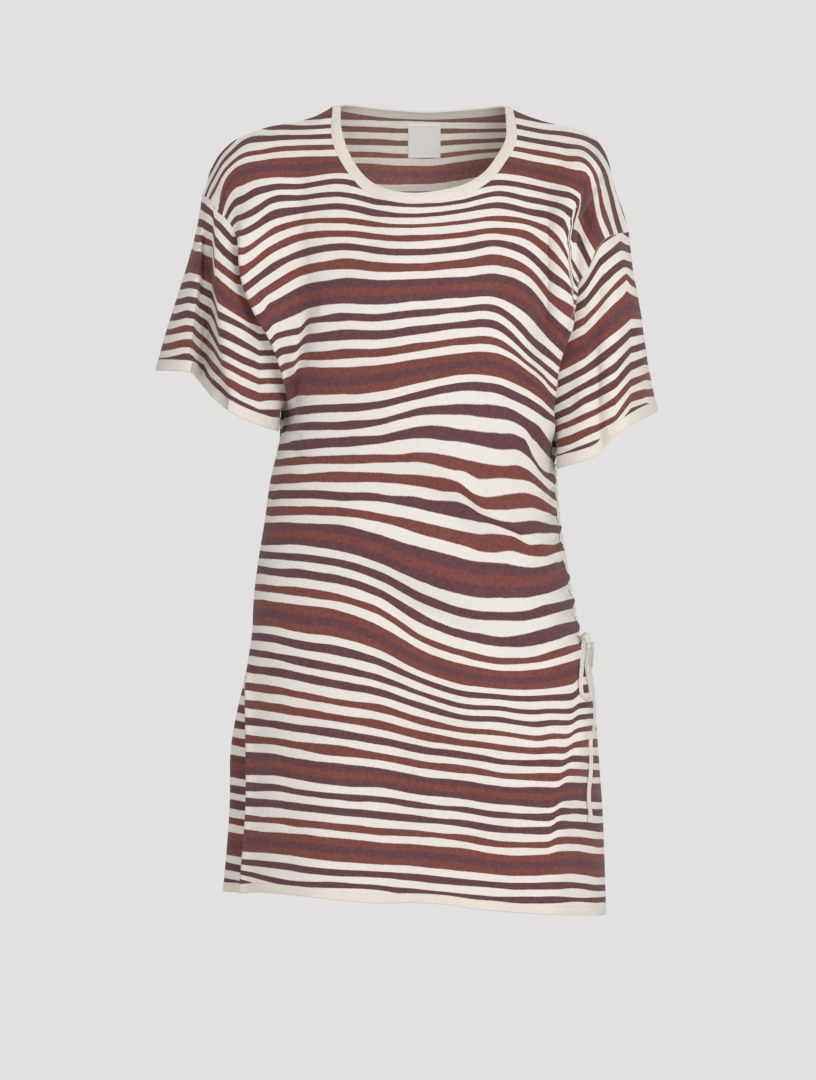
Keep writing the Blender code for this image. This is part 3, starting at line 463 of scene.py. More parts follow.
# %% Fine folds
# panel, kind, height, width, line (x, z). On the front the line is as the viewer sees it against the neck's
# plane.
FINE_FOLDS = [
    ("front", "lap", 3.4, 2.0, [(36, -404), (65, -441), (83, -453), (101, -464), (118, -478), (128, -490)]),
    ("front", "lap", -6.0, 1.6,
        [(188, -66), (184, -84), (174, -106), (166, -125), (163, -140), (163, -169), (165, -200)]),
    ("front", "crease", -2.6, 5.0, [(112, -216), (120, -243), (131, -276), (140, -319), (143, -352)]),
    ("front", "ridge", 1.8, 5.0, [(104, -232), (111, -262), (120, -300), (128, -345)]),
    ("front", "crease", -2.4, 5.0, [(-174, -198), (-169, -219), (-162, -247), (-151, -285), (-145, -316)]),
    ("front", "crease", -2.0, 6.0, [(-127, -221), (-132, -249), (-136, -298), (-147, -341)]),
    ("front", "ridge", 1.6, 5.0, [(-150, -345), (-138, -362), (-112, -372)]),
    ("front", "ridge", 1.5, 5.0, [(-156, -372), (-140, -392), (-118, -402)]),
    ("front", "crease", -1.6, 5.0, [(-152, -358), (-136, -378), (-108, -388)]),
    ("front", "ridge", 1.8, 5.5, [(-182, -22), (-172, -32), (-164, -44)]),
    ("front", "ridge", 1.6, 5.0, [(152, -24), (157, -35), (166, -46)]),
    ("front", "crease", -1.5, 5.0, [(165, -24), (171, -36), (181, -50)]),
    ("front", "crease", -1.8, 7.0, [(-49, -521), (-34, -548), (-7, -571), (18, -610), (36, -632)]),
    ("front", "crease", -1.6, 7.0, [(-22, -537), (30, -562), (76, -586)]),
    ("front", "ridge", 1.6, 7.0, [(60, -500), (95, -512), (130, -520)]),
    ("front", "lap", 2.6, 3.0,
        [(173, -590), (171, -645), (168, -669), (165, -686), (159, -715), (150, -742)]),
    ("front", "ridge", 1.5, 6.0, [(150, -742), (146, -773), (140, -832)]),
    ("front", "crease", -1.2, 8.0, [(-150, -700), (-146, -770), (-140, -850)]),
    ("front", "ridge", 1.2, 9.0, [(30, -690), (36, -760), (34, -850)]),
    ("back", "crease", -2.2, 6.0, [(-128, -190), (-126, -260), (-134, -330)]),
    ("back", "crease", -2.4, 6.0, [(124, -220), (126, -290), (133, -360)]),
    ("back", "ridge", 1.8, 6.0, [(-150, -355), (-120, -380), (-80, -392)]),
    ("back", "lap", 3.0, 4.0, [(126, -470), (90, -458), (56, -430), (34, -404)]),
    ("back", "crease", -2.0, 7.0, [(130, -560), (80, -548), (20, -520), (-20, -490)]),
    ("back", "crease", -1.8, 8.0, [(130, -600), (84, -640), (60, -720), (56, -800)]),
    ("back", "ridge", 1.6, 7.0, [(-90, -640), (-98, -740), (-100, -850)]),
    ("back", "ridge", 1.6, 6.0, [(-150, -30), (-140, -50), (-136, -80)]),
    ("back", "ridge", 1.6, 6.0, [(148, -32), (142, -54), (140, -84)]),
]
LAP_REACH = 26.0
FOLD_FADE = 0.25  # of a fine fold's line, at each of its ends
print(len(FINE_FOLDS), "fine folds")

# %% Measuring from a fold's line


def line_distance(x, z, line):
    """Distance of each point from a line, minus on its -X side, and how far along the line it is, 0 to 1."""
    best = np.full(x.shape, 1e9)
    side, place = np.ones(x.shape), np.zeros(x.shape)
    line = np.array(line, float)
    length = np.hypot(*np.diff(line, axis=0).T)
    before = np.concatenate([[0], np.cumsum(length)])
    for i, ((ax, az), (bx, bz)) in enumerate(zip(line[:-1], line[1:])):
        dx, dz = bx - ax, bz - az
        t = np.clip(((x - ax) * dx + (z - az) * dz) / (dx * dx + dz * dz), 0, 1)
        far = np.hypot(x - ax - t * dx, z - az - t * dz)
        near = far < best
        best = np.where(near, far, best)
        side = np.where(near, np.sign(dx * (z - az) - dz * (x - ax)), side)
        place = np.where(near, (before[i] + t * length[i]) / before[-1], place)
    return best * side, place


def fine_fold(kind, height, width, far, place):
    """How far out a fine fold pushes the cloth. It fades at both ends of its line."""
    fade = ease(place / FOLD_FADE) * ease((1 - place) / FOLD_FADE)
    if kind == "lap":
        return height * fade * (0.5 + 0.5 * np.tanh(far / width)) * np.exp(-((far / LAP_REACH) ** 2))
    if kind == "crease":
        return height * fade * np.exp(-np.abs(far) / width)
    return height * fade * np.exp(-((far / width) ** 2))


def pushed_by(name, broad_folds, fine_folds, grid, seen):
    """How far out all the folds of one piece push its points. seen is where the fine ones' lines are read."""
    push = np.zeros(grid.shape[:2])
    for owner, _, height, minus, plus, line in broad_folds:
        if owner == name:
            far, _ = line_distance(grid[..., 0], grid[..., 2], line)
            push += height * np.exp(-((far / np.where(far > 0, plus, minus)) ** 2))
    for owner, kind, height, width, line in fine_folds:
        if owner == name:
            push += fine_fold(kind, height, width, *line_distance(*seen, line))
    return push


def as_seen(points):
    """Where points show against the upright plane through the neck, to the viewer in front: across and up."""
    scale = -EYE[1] / (points[..., 1] - EYE[1])
    return (points[..., 0] - EYE[0]) * scale + EYE[0], (points[..., 2] - EYE[2]) * scale + EYE[2]


def read_at(name, grid):
    """Where the tables of a panel are read: as the viewer sees the front, and straight on for the back."""
    return as_seen(grid) if name == "front" else (grid[..., 0], grid[..., 2])


print("the front of the hem is seen", round(as_seen(np.array([0, -120.0, -880.0]))[1] + 880, 1), "mm lower")

# %% [markdown]
# ## Panels
# A panel is a grid of points: columns run from side seam to side seam, rows from the shoulder to the hem.
# Below the arms each row is half of a rounded section of the body, in equal parts of its girth. Above them
# the rows are cubics from the shoulder seam and the neckline down to the first section, drawn over to the
# armhole at the sides.

# %% Sections of the body


def columns(neck_cells):
    """Places of a panel's columns, -1 at the wearer's right seam, 1 at the left."""
    side_places = np.array(SIDE_COLUMNS)
    neck_places = np.linspace(-NECK_PART, NECK_PART, neck_cells + 1)
    return refine(np.concatenate([-side_places, neck_places, side_places[::-1]]), COLUMN_PARTS)


def gather_turn(level):
    """How far a height is through the gathers, as an angle: a full turn for each gather."""
    return (level - GATHER_TOP) / (GATHER_END - GATHER_TOP) * GATHERS * 2 * math.pi


def levels():
    """Heights of the rows below the underarm, at the ruched seam."""
    above = np.linspace(ARMHOLE["left", "front"][-1][2], GATHER_TOP, 2 * ROW_PARTS + 1)[:-1]
    ruche = np.linspace(GATHER_TOP, GATHER_END, RUCHE_CELLS + 1)
    skirt = np.linspace(GATHER_END, PANEL_END, SKIRT_CELLS + 1)[1:]
    return np.concatenate([above, ruche, skirt])


def section(panel, level, places):
    """A row of a panel round the body: equal parts of its girth, from seam to seam."""
    z_left, z_right = level, level + SLANT
    body = through(BODY, np.array([z_left, z_right, (z_left + z_right) / 2]))
    x0, y0 = body[1, 0], body[1, 1]
    x1, y1 = body[0, 2], body[0, 3]
    depth = body[2, 4] if panel == "front" else body[2, 5]
    turn = np.linspace(-1, 1, SECTION_POINTS) * math.pi / 2
    power = 2 / SQUARENESS
    across = np.sign(turn) * np.abs(np.sin(turn)) ** power
    x = (x0 + x1) / 2 + (x1 - x0) / 2 * across
    seam_y = (y0 + y1) / 2 + (y1 - y0) / 2 * across
    y = seam_y + (depth - seam_y) * np.cos(turn) ** power
    z = z_left + SLANT * (1 - across) / 2
    if panel == "front":
        z = z + FRONT_SAG * np.cos(turn)
    else:
        z = z - BACK_SAG * np.cos(turn) ** 0.5 * ease((BACK_SAG_TOP - level) / BACK_SAG_FADE)
    run = run_along(np.column_stack([x, y]))
    # the first rows dip away from the underarm, so that they leave the armhole's foot at a slope
    from_seam = np.minimum(run, run[-1] - run)
    dip = UNDERARM_DIP * ease((level - UNDERARM_DIP_END) / UNDERARM_DIP_FADE)
    z = z - dip * (1 - np.exp(-from_seam / DIP_REACH))
    at = (places + 1) / 2 * run[-1]
    return np.column_stack([np.interp(at, run, v) for v in (x, y, z)])


def armhole(side, panel, fractions):
    """Points down half an armhole, ending where the side seam begins."""
    foot = section(panel, levels()[0], np.array([SIDES[side]]))
    return along(np.vstack([ARMHOLE[side, panel][:-1], foot]), fractions)


print(len(levels()), "rows below the arms")

# %% The yoke
PULL_FROM, PULL_POWER = 0.5, 1.3  # of half a panel: from there on the rows are drawn over to the armhole


def yoke(panel, places):
    """Rows from the shoulder seams and the neckline down to the underarm."""
    outer = np.abs(places) > NECK_PART + 1e-9
    top = np.empty((len(places), 3))
    neck = NECK_FRONT if panel == "front" else NECK_BACK
    top[~outer] = through(neck, places[~outer] / NECK_PART)[:, :3]
    for side, sign in SIDES.items():
        here = outer & (places * sign > 0)
        top[here] = along(SHOULDER[side], (np.abs(places[here]) - NECK_PART) / (1 - NECK_PART))
    level = levels()[0]
    end = section(panel, level, places)
    arrive = unit(section(panel, level - 20, places) - end)
    leave = unit(through(LEAVING[panel], np.abs(places) / NECK_PART))
    leave[:, 0] *= np.sign(places)
    span = np.linalg.norm(end - top, axis=1)[:, None]
    t = np.linspace(0, 1, YOKE_CELLS + 1)[:, None, None]
    rows = hermite(top, leave * span, end, arrive * span, t)
    for side, sign in SIDES.items():
        seam = armhole(side, panel, t[:, 0, 0])
        column = np.argmax(places * sign)
        pull = ease((places * sign - PULL_FROM) / (1 - PULL_FROM)) ** PULL_POWER
        rows += (seam - rows[:, column])[:, None, :] * pull[None, :, None]
    return softened(rows, places)


CORNER_REACH = 5.0  # columns over which the corner at the neck's ends is smoothed away
CORNER_COLUMNS = 14  # columns averaged on each side
CORNER_BREADTH = 0.13  # of half a panel, about the neck's ends
CORNER_DEPTH = 0.14  # of the yoke's height, over which the smoothing sets in


def softened(rows, places):
    """The corner between neckline and shoulder seam dies out a little below them, as cloth can't keep it."""
    offsets = np.arange(-CORNER_COLUMNS, CORNER_COLUMNS + 1)
    weights = np.exp(-((offsets / CORNER_REACH) ** 2) / 2)
    padded = np.concatenate([rows[:, :1]] * CORNER_COLUMNS + [rows] + [rows[:, -1:]] * CORNER_COLUMNS, axis=1)
    starts = CORNER_COLUMNS + offsets
    smooth = sum(w * padded[:, k : k + rows.shape[1]] for k, w in zip(starts, weights)) / weights.sum()
    across = np.exp(-(((np.abs(places) - NECK_PART) / CORNER_BREADTH) ** 2))[None, :]
    below = ease(np.arange(len(rows)) / (CORNER_DEPTH * len(rows)))[:, None]
    return rows + (smooth - rows) * (across * below)[..., None]


def grid_normals(grid, closed=False):
    """Unit normals of a grid: rows run down, columns to the right when seen from outside."""
    down = np.gradient(grid, axis=0)
    if closed:
        right = (np.roll(grid, -1, axis=1) - np.roll(grid, 1, axis=1)) / 2
    else:
        right = np.gradient(grid, axis=1)
    return unit(np.cross(down, right))


print("yoke", yoke("front", columns(FRONT_NECK_CELLS)).shape)

# %% A whole panel
GATHER_SHARPNESS = 0.55  # of the second wave that narrows each gather's valley
PUCKER, PUCKER_WAVES, PUCKER_START = 0.7, 2.3, 1.7  # the small puckers right at the casing
PUCKER_HOLD, PUCKER_REACH = 0.02, 0.12  # of half a panel, from the seam
# the gathers start this far above their top and stop this far below their end, each over a breadth
GATHER_LEAD, GATHER_LEAD_FADE = 12, 25
GATHER_TAIL, GATHER_TAIL_FADE = 22, 30
# where no fold moves a seam: of half a panel at the sides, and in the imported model's cells below the top
SEAM_HOLD, TOP_HOLD = 0.05, 2.5
# place, how much lower the hem hangs there: it dips at the wearer's right seam and is drawn up towards the
# gathers
HEM_HANG = [(-1, 6.5), (-0.9, 5), (-0.8, 2.4), (-0.6, 0.5), (-0.22, -1), (-0.1, -4.5), (0.05, -6),
            (0.16, -4.5), (0.4, -4.5), (0.7, -6), (1, -5.5)]
HEM_HANG_TOP, HEM_HANG_FADE = -600, 240


def panel(name, neck_cells):
    """A panel with its folds. Returns the places of its columns and its grid."""
    places = columns(neck_cells)
    lower = np.array([section(name, level, places) for level in levels()])
    grid = np.concatenate([yoke(name, places)[:-1], lower])
    outward = grid_normals(grid) * (1 if name == "front" else -1)
    z = grid[..., 2]
    row = np.arange(len(grid)) / ROW_PARTS
    free = ease((1 - np.abs(places)) / SEAM_HOLD)[None, :] * ease(row / TOP_HOLD)[:, None]
    push = pushed_by(name, FOLDS, FINE_FOLDS, grid, read_at(name, grid))
    # gathers along the ruched seam, deep close to it, running down and away from it
    away = 1 - places
    level = z + GATHER_SLOPE * away[None, :]
    turn = gather_turn(level)
    wave = np.sin(turn) - GATHER_SHARPNESS * 0.5 * (1 + np.cos(2 * turn)) * (np.sin(turn) < 0)
    zone = ease((GATHER_TOP + GATHER_LEAD - z) / GATHER_LEAD_FADE)
    zone = zone * ease((z - GATHER_END + GATHER_TAIL) / GATHER_TAIL_FADE)
    depth = np.interp(away, *zip(*GATHER_DEPTH))
    close = np.exp(-((away / PUCKER_REACH) ** 2)) * ease(away / PUCKER_HOLD)
    pucker = PUCKER * np.sin(turn * PUCKER_WAVES + PUCKER_START) * zone * close[None, :]
    push = push * free + wave * zone * depth[None, :] + pucker
    grid = grid + outward * push[..., None]
    for owner, side, top, full, end, dx, dy, crest in LOBES:
        if owner == name:
            sign = SIDES[side]
            away = (1 - places * sign) / crest
            swell = away * np.exp(1 - away)
            edge_z = grid[:, np.argmax(places * sign), 2]
            reach = ease((top - edge_z) / (top - full)) * ease((edge_z - end) / 40)
            grid = grid + (reach[:, None] * swell[None, :])[..., None] * np.array([dx, dy, 0.0])
    low = ease((HEM_HANG_TOP - grid[..., 2]) / HEM_HANG_FADE)
    grid[..., 2] -= through(HEM_HANG, places)[None, :, 0] * low
    return places, grid


front_places, front_grid = panel("front", FRONT_NECK_CELLS)
back_places, back_grid = panel("back", BACK_NECK_CELLS)
for column in (0, -1):  # one seam line for both panels
    seam = (front_grid[:, column] + back_grid[:, column]) / 2
    front_grid[YOKE_CELLS:, column] = back_grid[YOKE_CELLS:, column] = seam[YOKE_CELLS:]
print("front", front_grid.shape[:2], "back", back_grid.shape[:2])

# %% [markdown]
# ## Sleeves
# A sleeve is a ring of points that starts as the armhole and ends as the cuff's edge. The ring's points on
# the armhole are the panels' own, so the seam closes by itself. One deep fold runs down the front of the
# wearer's right sleeve, where the cloth doubles behind its outer flap. The cuff's outline has it already,
# and between two lines down the sleeve the cloth is set back to meet it.

# %% Sleeve rings
# side, kind, height, width, line (x, z) as seen from the front
FINE_SLEEVE_FOLDS = [
    ("right", "crease", -2.0, 4.0, [(-228, -128), (-226, -170), (-222, -220), (-217, -262), (-212, -300)]),
    ("right", "ridge", 1.6, 6.0, [(-205, -150), (-198, -200), (-190, -260), (-186, -310)]),
    ("right", "crease", -1.6, 6.0, [(-182, -230), (-176, -270), (-172, -320)]),
    ("left", "crease", -2.6, 4.5, [(200, -150), (197, -190), (193, -240), (196, -300), (198, -340)]),
    ("left", "ridge", 1.8, 4.0, [(219, -148), (226, -182), (236, -215), (242, -249)]),
    ("left", "crease", -1.4, 6.0, [(228, -150), (236, -190), (246, -240)]),
    ("left", "ridge", 1.6, 7.0, [(172, -260), (176, -310), (182, -350)]),
]
# side, depth, breadth of its two edges, near edge, far edge: the cloth doubles back between the two lines
SLEEVE_VALLEYS = [
    ("right", 21.0, 0.7, 2.2,
        [(-236, -112), (-238, -159), (-240, -184), (-243, -224), (-245, -244), (-247, -263), (-249, -292)],
        [(-224, -108), (-224, -135), (-224, -184), (-221, -205), (-218, -243), (-214, -283), (-208, -312)]),
    ("left", 4.0, 2.0, 4.0,
        [(218, -140), (221, -158), (227, -186), (231, -204), (239, -233), (246, -262)],
        [(224, -140), (229, -158), (236, -186), (241, -204), (250, -233), (258, -262)]),
]
SLEEVE_SEAM_HOLD = 0.12  # of a sleeve's length, below the armhole
FRONT_FADE = 25.0  # folds die out this near the middle of a sleeve, because its back has none
VALLEY_FADE, VALLEY_PAST, VALLEY_BREADTH = 0.3, 6.0, 20.0  # down its line, and past the middle of a sleeve
CUFF_LEAN = 0.22  # outward for each step down, at the sleeve's end
CUFF_MOST = 0.42  # of a sleeve's length, where it is shortest


def sleeve(side):
    """Rows from the armhole to the cuff's edge. The last is the cuff's."""
    sign = SIDES[side]
    t = np.arange(YOKE_CELLS) / YOKE_CELLS
    start = np.concatenate([armhole(side, "front", t), armhole(side, "back", 1 - t)])
    place = np.arange(2 * YOKE_CELLS) * 18 / YOKE_CELLS
    end = through(CUFF[side], place)
    leave = unit(through(SLEEVE_LEAVING, place) * np.array([sign, 1, 1]))
    arrive = unit(np.array([CUFF_LEAN * sign, 0, -1]))
    span = np.linalg.norm(end - start, axis=1)[:, None]
    cuff = 1 - np.minimum(CUFF_WIDTH / span, CUFF_MOST)
    t = np.linspace(0, 1, SLEEVE_CELLS + 1)[:, None, None] * cuff
    grid = hermite(start, leave * span, end, arrive * span, t)
    outward = grid_normals(grid, closed=True) * -sign
    y = grid[..., 1]
    half = ease(-y / FRONT_FADE) * ease(t[..., 0] / SLEEVE_SEAM_HOLD)
    seen = as_seen(grid)
    push = pushed_by(side, SLEEVE_FOLDS, FINE_SLEEVE_FOLDS, grid, seen)
    grid = grid + outward * (push * half)[..., None]
    for owner, deep, near_breadth, far_breadth, near_edge, far_edge in SLEEVE_VALLEYS:
        if owner == side:
            past_near, place = line_distance(*seen, near_edge)
            past_far, _ = line_distance(*seen, far_edge)
            between = (1 + np.tanh(past_near / near_breadth)) * (1 - np.tanh(past_far / far_breadth)) / 4
            fade = ease(place / VALLEY_FADE) * ease((VALLEY_PAST - y) / VALLEY_BREADTH)
            grid[..., 1] += deep * between * fade
    edge = grid[-1] + (end - hermite(start, leave * span, end, arrive * span, cuff))
    return np.concatenate([grid, edge[None]])


sleeve_grids = {side: sleeve(side) for side in SIDES}
print("sleeve rings of", sleeve_grids["left"].shape[1], "points")

# %% [markdown]
# ## From grids to walls of cloth
# Cloth has two faces and an edge, so each grid becomes a thin closed wall: the knit's face outside, its
# reverse inside, and a rim. Where pieces are sewn together they share one wall direction, and each is
# trimmed by half of the gap, measured in the cloth. The two faces get their own material, because the
# reverse of a jersey is paler; its cream is painted lighter still, as painted light inside the neck.

# %% Sheets of points


class Sheet:
    """A grid of points on a piece's middle surface. flip turns round which side faces out."""

    def __init__(self, grid, closed=False, flip=False):
        self.grid, self.closed, self.flip = grid, closed, flip
        self.normals = self.lean = self.own = None

    def quads(self):
        """Corners of every cell, and which of them lie past the join of a closed sheet."""
        rows, cols = self.grid.shape[:2]
        r, c = np.meshgrid(np.arange(rows - 1), np.arange(cols if self.closed else cols - 1), indexing="ij")
        right = (c + 1) % cols
        corner = np.stack([r * cols + c, (r + 1) * cols + c, (r + 1) * cols + right, r * cols + right], -1)
        past = np.zeros(corner.shape, bool)
        past[..., 2:] = (right == 0)[..., None]
        corner, past = corner.reshape(-1, 4), past.reshape(-1, 4)
        return (corner[:, ::-1], past[:, ::-1]) if self.flip else (corner, past)


def share_normals(sheets):
    """One wall direction wherever pieces meet, lengthened so that a sharp seam keeps its wall."""
    total, keys = {}, []
    for sheet in sheets:
        flat = sheet.grid.reshape(-1, 3)
        own = np.zeros_like(flat)
        quad = sheet.quads()[0]
        p = flat[quad]
        face = np.cross(p[:, 2] - p[:, 0], p[:, 3] - p[:, 1])
        for corner in range(4):
            np.add.at(own, quad[:, corner], face)
        sheet.own = unit(own).reshape(sheet.grid.shape)
        key = [tuple(row) for row in np.round(flat, 3) + 0.0]
        for name, vector in zip(key, unit(own)):
            total[name] = total.get(name, 0) + np.append(vector, 1)
        keys.append(key)
    for sheet, key in zip(sheets, keys):
        found = np.array([total[name] for name in key])
        lean = np.clip(np.linalg.norm(found[:, :3], axis=1) / found[:, 3], 0.55, 1)[:, None]
        sheet.lean = lean.reshape(*sheet.grid.shape[:2], 1)
        sheet.normals = (unit(found[:, :3]) / lean).reshape(sheet.grid.shape)


def drawn_back(edge, inner, normals, lean, closed):
    """How far each point of a sheet's edge moves in the cloth to leave half the gap beside it."""
    ahead = np.roll(edge, -1, axis=0) - edge
    side = unit(np.cross(normals + np.roll(normals, -1, axis=0), ahead))
    if (side * (inner - edge))[: len(edge) - 1].sum() < 0:
        side = -side
    before = np.roll(side, 1, axis=0)
    if not closed:
        before[0], side[-1] = side[0], before[-1]
    both = (side * before).sum(axis=1, keepdims=True)
    return (side + before) / np.maximum(1 + both, 0.5) * GAP / 2 / lean


def trimmed(sheet, free_end):
    """The grid with each edge that is sewn to another piece drawn back by half the gap."""
    grid, lean, own, at = sheet.grid.copy(), sheet.lean, sheet.own, sheet.grid
    grid[0] += drawn_back(at[0], at[1], own[0], lean[0], sheet.closed)
    if not free_end:
        grid[-1] += drawn_back(at[-1], at[-2], own[-1], lean[-1], sheet.closed)
    if not sheet.closed:
        grid[:, 0] += drawn_back(at[:, 0], at[:, 1], own[:, 0], lean[:, 0], False)
        grid[:, -1] += drawn_back(at[:, -1], at[:, -2], own[:, -1], lean[:, -1], False)
    return grid


print("sheets are ready to be sewn")

# %% Meshes with a cloth map
CLOTH_MAP = "cloth"  # u runs across the cloth, v along it, both in metres


def add_mesh(name, points, faces, corners, materials, slots=None):
    """A smooth mesh object at the origin. corners holds u and v for every corner of every face."""
    mesh = bpy.data.meshes.new(name)
    mesh.from_pydata((np.asarray(points) * MILLIMETRE).tolist(), [], faces)
    for material in materials:
        mesh.materials.append(material)
    if slots is not None:
        mesh.polygons.foreach_set("material_index", slots)
    layer = mesh.uv_layers.new(name=CLOTH_MAP)
    layer.data.foreach_set("uv", (np.asarray(corners) * MILLIMETRE).astype(np.float32).ravel())
    mesh.shade_smooth()
    mesh.set_sharp_from_angle(angle=math.radians(50))
    mesh.update()
    return new_object(name, mesh)


def wall(name, sheet, outer, inner, chart, materials, around=0.0):
    """A closed wall between two grids. chart holds u and v of each point, around a closed sheet's girth."""
    rows, cols = sheet.grid.shape[:2]
    count = rows * cols
    quads, past = sheet.quads()
    index = np.arange(count).reshape(rows, cols)

    def rim(line, turn, closed):
        ahead = np.append(line[1:], line[0]) if closed else line[1:]
        line = line if closed else line[:-1]
        strip = np.stack([ahead, line, line + count, ahead + count], 1)
        over = np.zeros(strip.shape, bool)
        if closed:
            over[-1, [0, 3]] = True
        return (strip[:, ::-1], over[:, ::-1]) if turn else (strip, over)

    rims = [rim(index[0], not sheet.flip, sheet.closed), rim(index[-1], sheet.flip, sheet.closed)]
    if not sheet.closed:
        rims += [rim(index[:, 0], sheet.flip, False), rim(index[:, -1], not sheet.flip, False)]
    faces = np.concatenate([quads, quads[:, ::-1] + count, *[r[0] for r in rims]])
    over = np.concatenate([past, past[:, ::-1], *[r[1] for r in rims]])
    slots = np.zeros(len(faces), np.int32)
    slots[len(quads) : 2 * len(quads)] = len(materials) - 1
    corners = chart.reshape(-1, 2)[faces % count]
    corners[..., 0] += over * around
    points = np.concatenate([outer.reshape(-1, 3), inner.reshape(-1, 3)])
    return add_mesh(name, points, faces.tolist(), corners, materials, slots)


def cloth(name, sheet, thickness, chart, materials, around=0.0, free_end=False):
    """A wall about a sheet. Its last row may be a free end. thickness is a number, or one for each row."""
    grid = trimmed(sheet, free_end)
    half = sheet.normals * np.reshape(thickness, (-1, 1, 1)) / 2
    return wall(name, sheet, grid + half, grid - half, chart, materials, around)


print("a wall keeps its u and v in", CLOTH_MAP)

# %% [markdown]
# ## Sewing the grids together
# The neckband, the cuffs and the hem band are strips of the same jersey, folded in half along their free
# edge. So each is a grid as well: one edge is the panels' own seam, and its wall swells from the seam and
# rounds over at the fold. All the sheets then share one wall direction wherever they meet.

# %% Sheets of the body and the sleeves
front, back = Sheet(front_grid), Sheet(back_grid, flip=True)
sleeves = {side: Sheet(sleeve_grids[side][:-1], closed=True, flip=side == "left") for side in SIDES}
print("four sheets of striped jersey")

# %% Bands
# place across the band from its seam to its fold, thickness
BAND_SECTION = [(0, 1.7), (0.06, 2.0), (0.18, 2.35), (0.4, 2.4), (0.62, 2.4), (0.8, 2.4), (0.9, 2.35),
                (0.94, 2.15), (0.98, 1.5), (1, 0.6)]
BAND_PLACES, BAND_THICKNESS = (np.array(v) for v in zip(*BAND_SECTION))


def band(seam, edge, crown=0.0, toward=None):
    """Rows from a seam to a folded edge, with a little crown between them."""
    t = BAND_PLACES[:, None, None]
    rows = seam + (edge - seam) * t
    if crown:
        rows = rows + unit((seam + edge) / 2 - toward) * crown * 4 * t * (1 - t)
    return rows


def round_the_body(front_row, back_row):
    """A closed ring of points from a row of the front and a row of the back."""
    return np.concatenate([front_row, back_row[1:-1][::-1]])


neck_f = front_places[np.abs(front_places) <= NECK_PART + 1e-9] / NECK_PART
neck_b = back_places[np.abs(back_places) <= NECK_PART + 1e-9][1:-1][::-1] / NECK_PART
loop = np.concatenate([through(NECK_FRONT, neck_f), through(NECK_BACK, neck_b)])
middle = loop.mean(axis=0)
toward = (middle[:3] + middle[3:]) / 2 - [0, 0, 25]
neckband = Sheet(band(loop[:, :3], loop[:, 3:], 0.7, toward), closed=True, flip=True)

last = round_the_body(front_grid[-1], back_grid[-1])
above = round_the_body(front_grid[-1 - SKIRT_CELLS // 10], back_grid[-1 - SKIRT_CELLS // 10])
down = unit(unit(last - above) + np.array([0, 0, -2.0]))
hem = Sheet(band(last, last + down * HEM_WIDTH), closed=True)

cuffs = {
    side: Sheet(band(grid[-2], grid[-1]), closed=True, flip=side == "left")
    for side, grid in sleeve_grids.items()
}
share_normals([front, back, neckband, hem, *sleeves.values(), *cuffs.values()])
print(f"neckband seam {run_along(loop[:, :3])[-1] / 1000:.2f} m round")

# %% [markdown]
# ## Which course of the knit lies where
# A stripe is a few courses of a darker yarn, so it follows the knit over every fold and swag. Each point of
# the cloth therefore gets a place in the knit: u across the wales, and v, the course, counted in
# millimetres down from the shoulder as if the cloth were flat. The tables say where some courses hang.
# Between them the course is read off a smooth curve, and across a sharp fold it slips, because some cloth
# is hidden inside the fold.

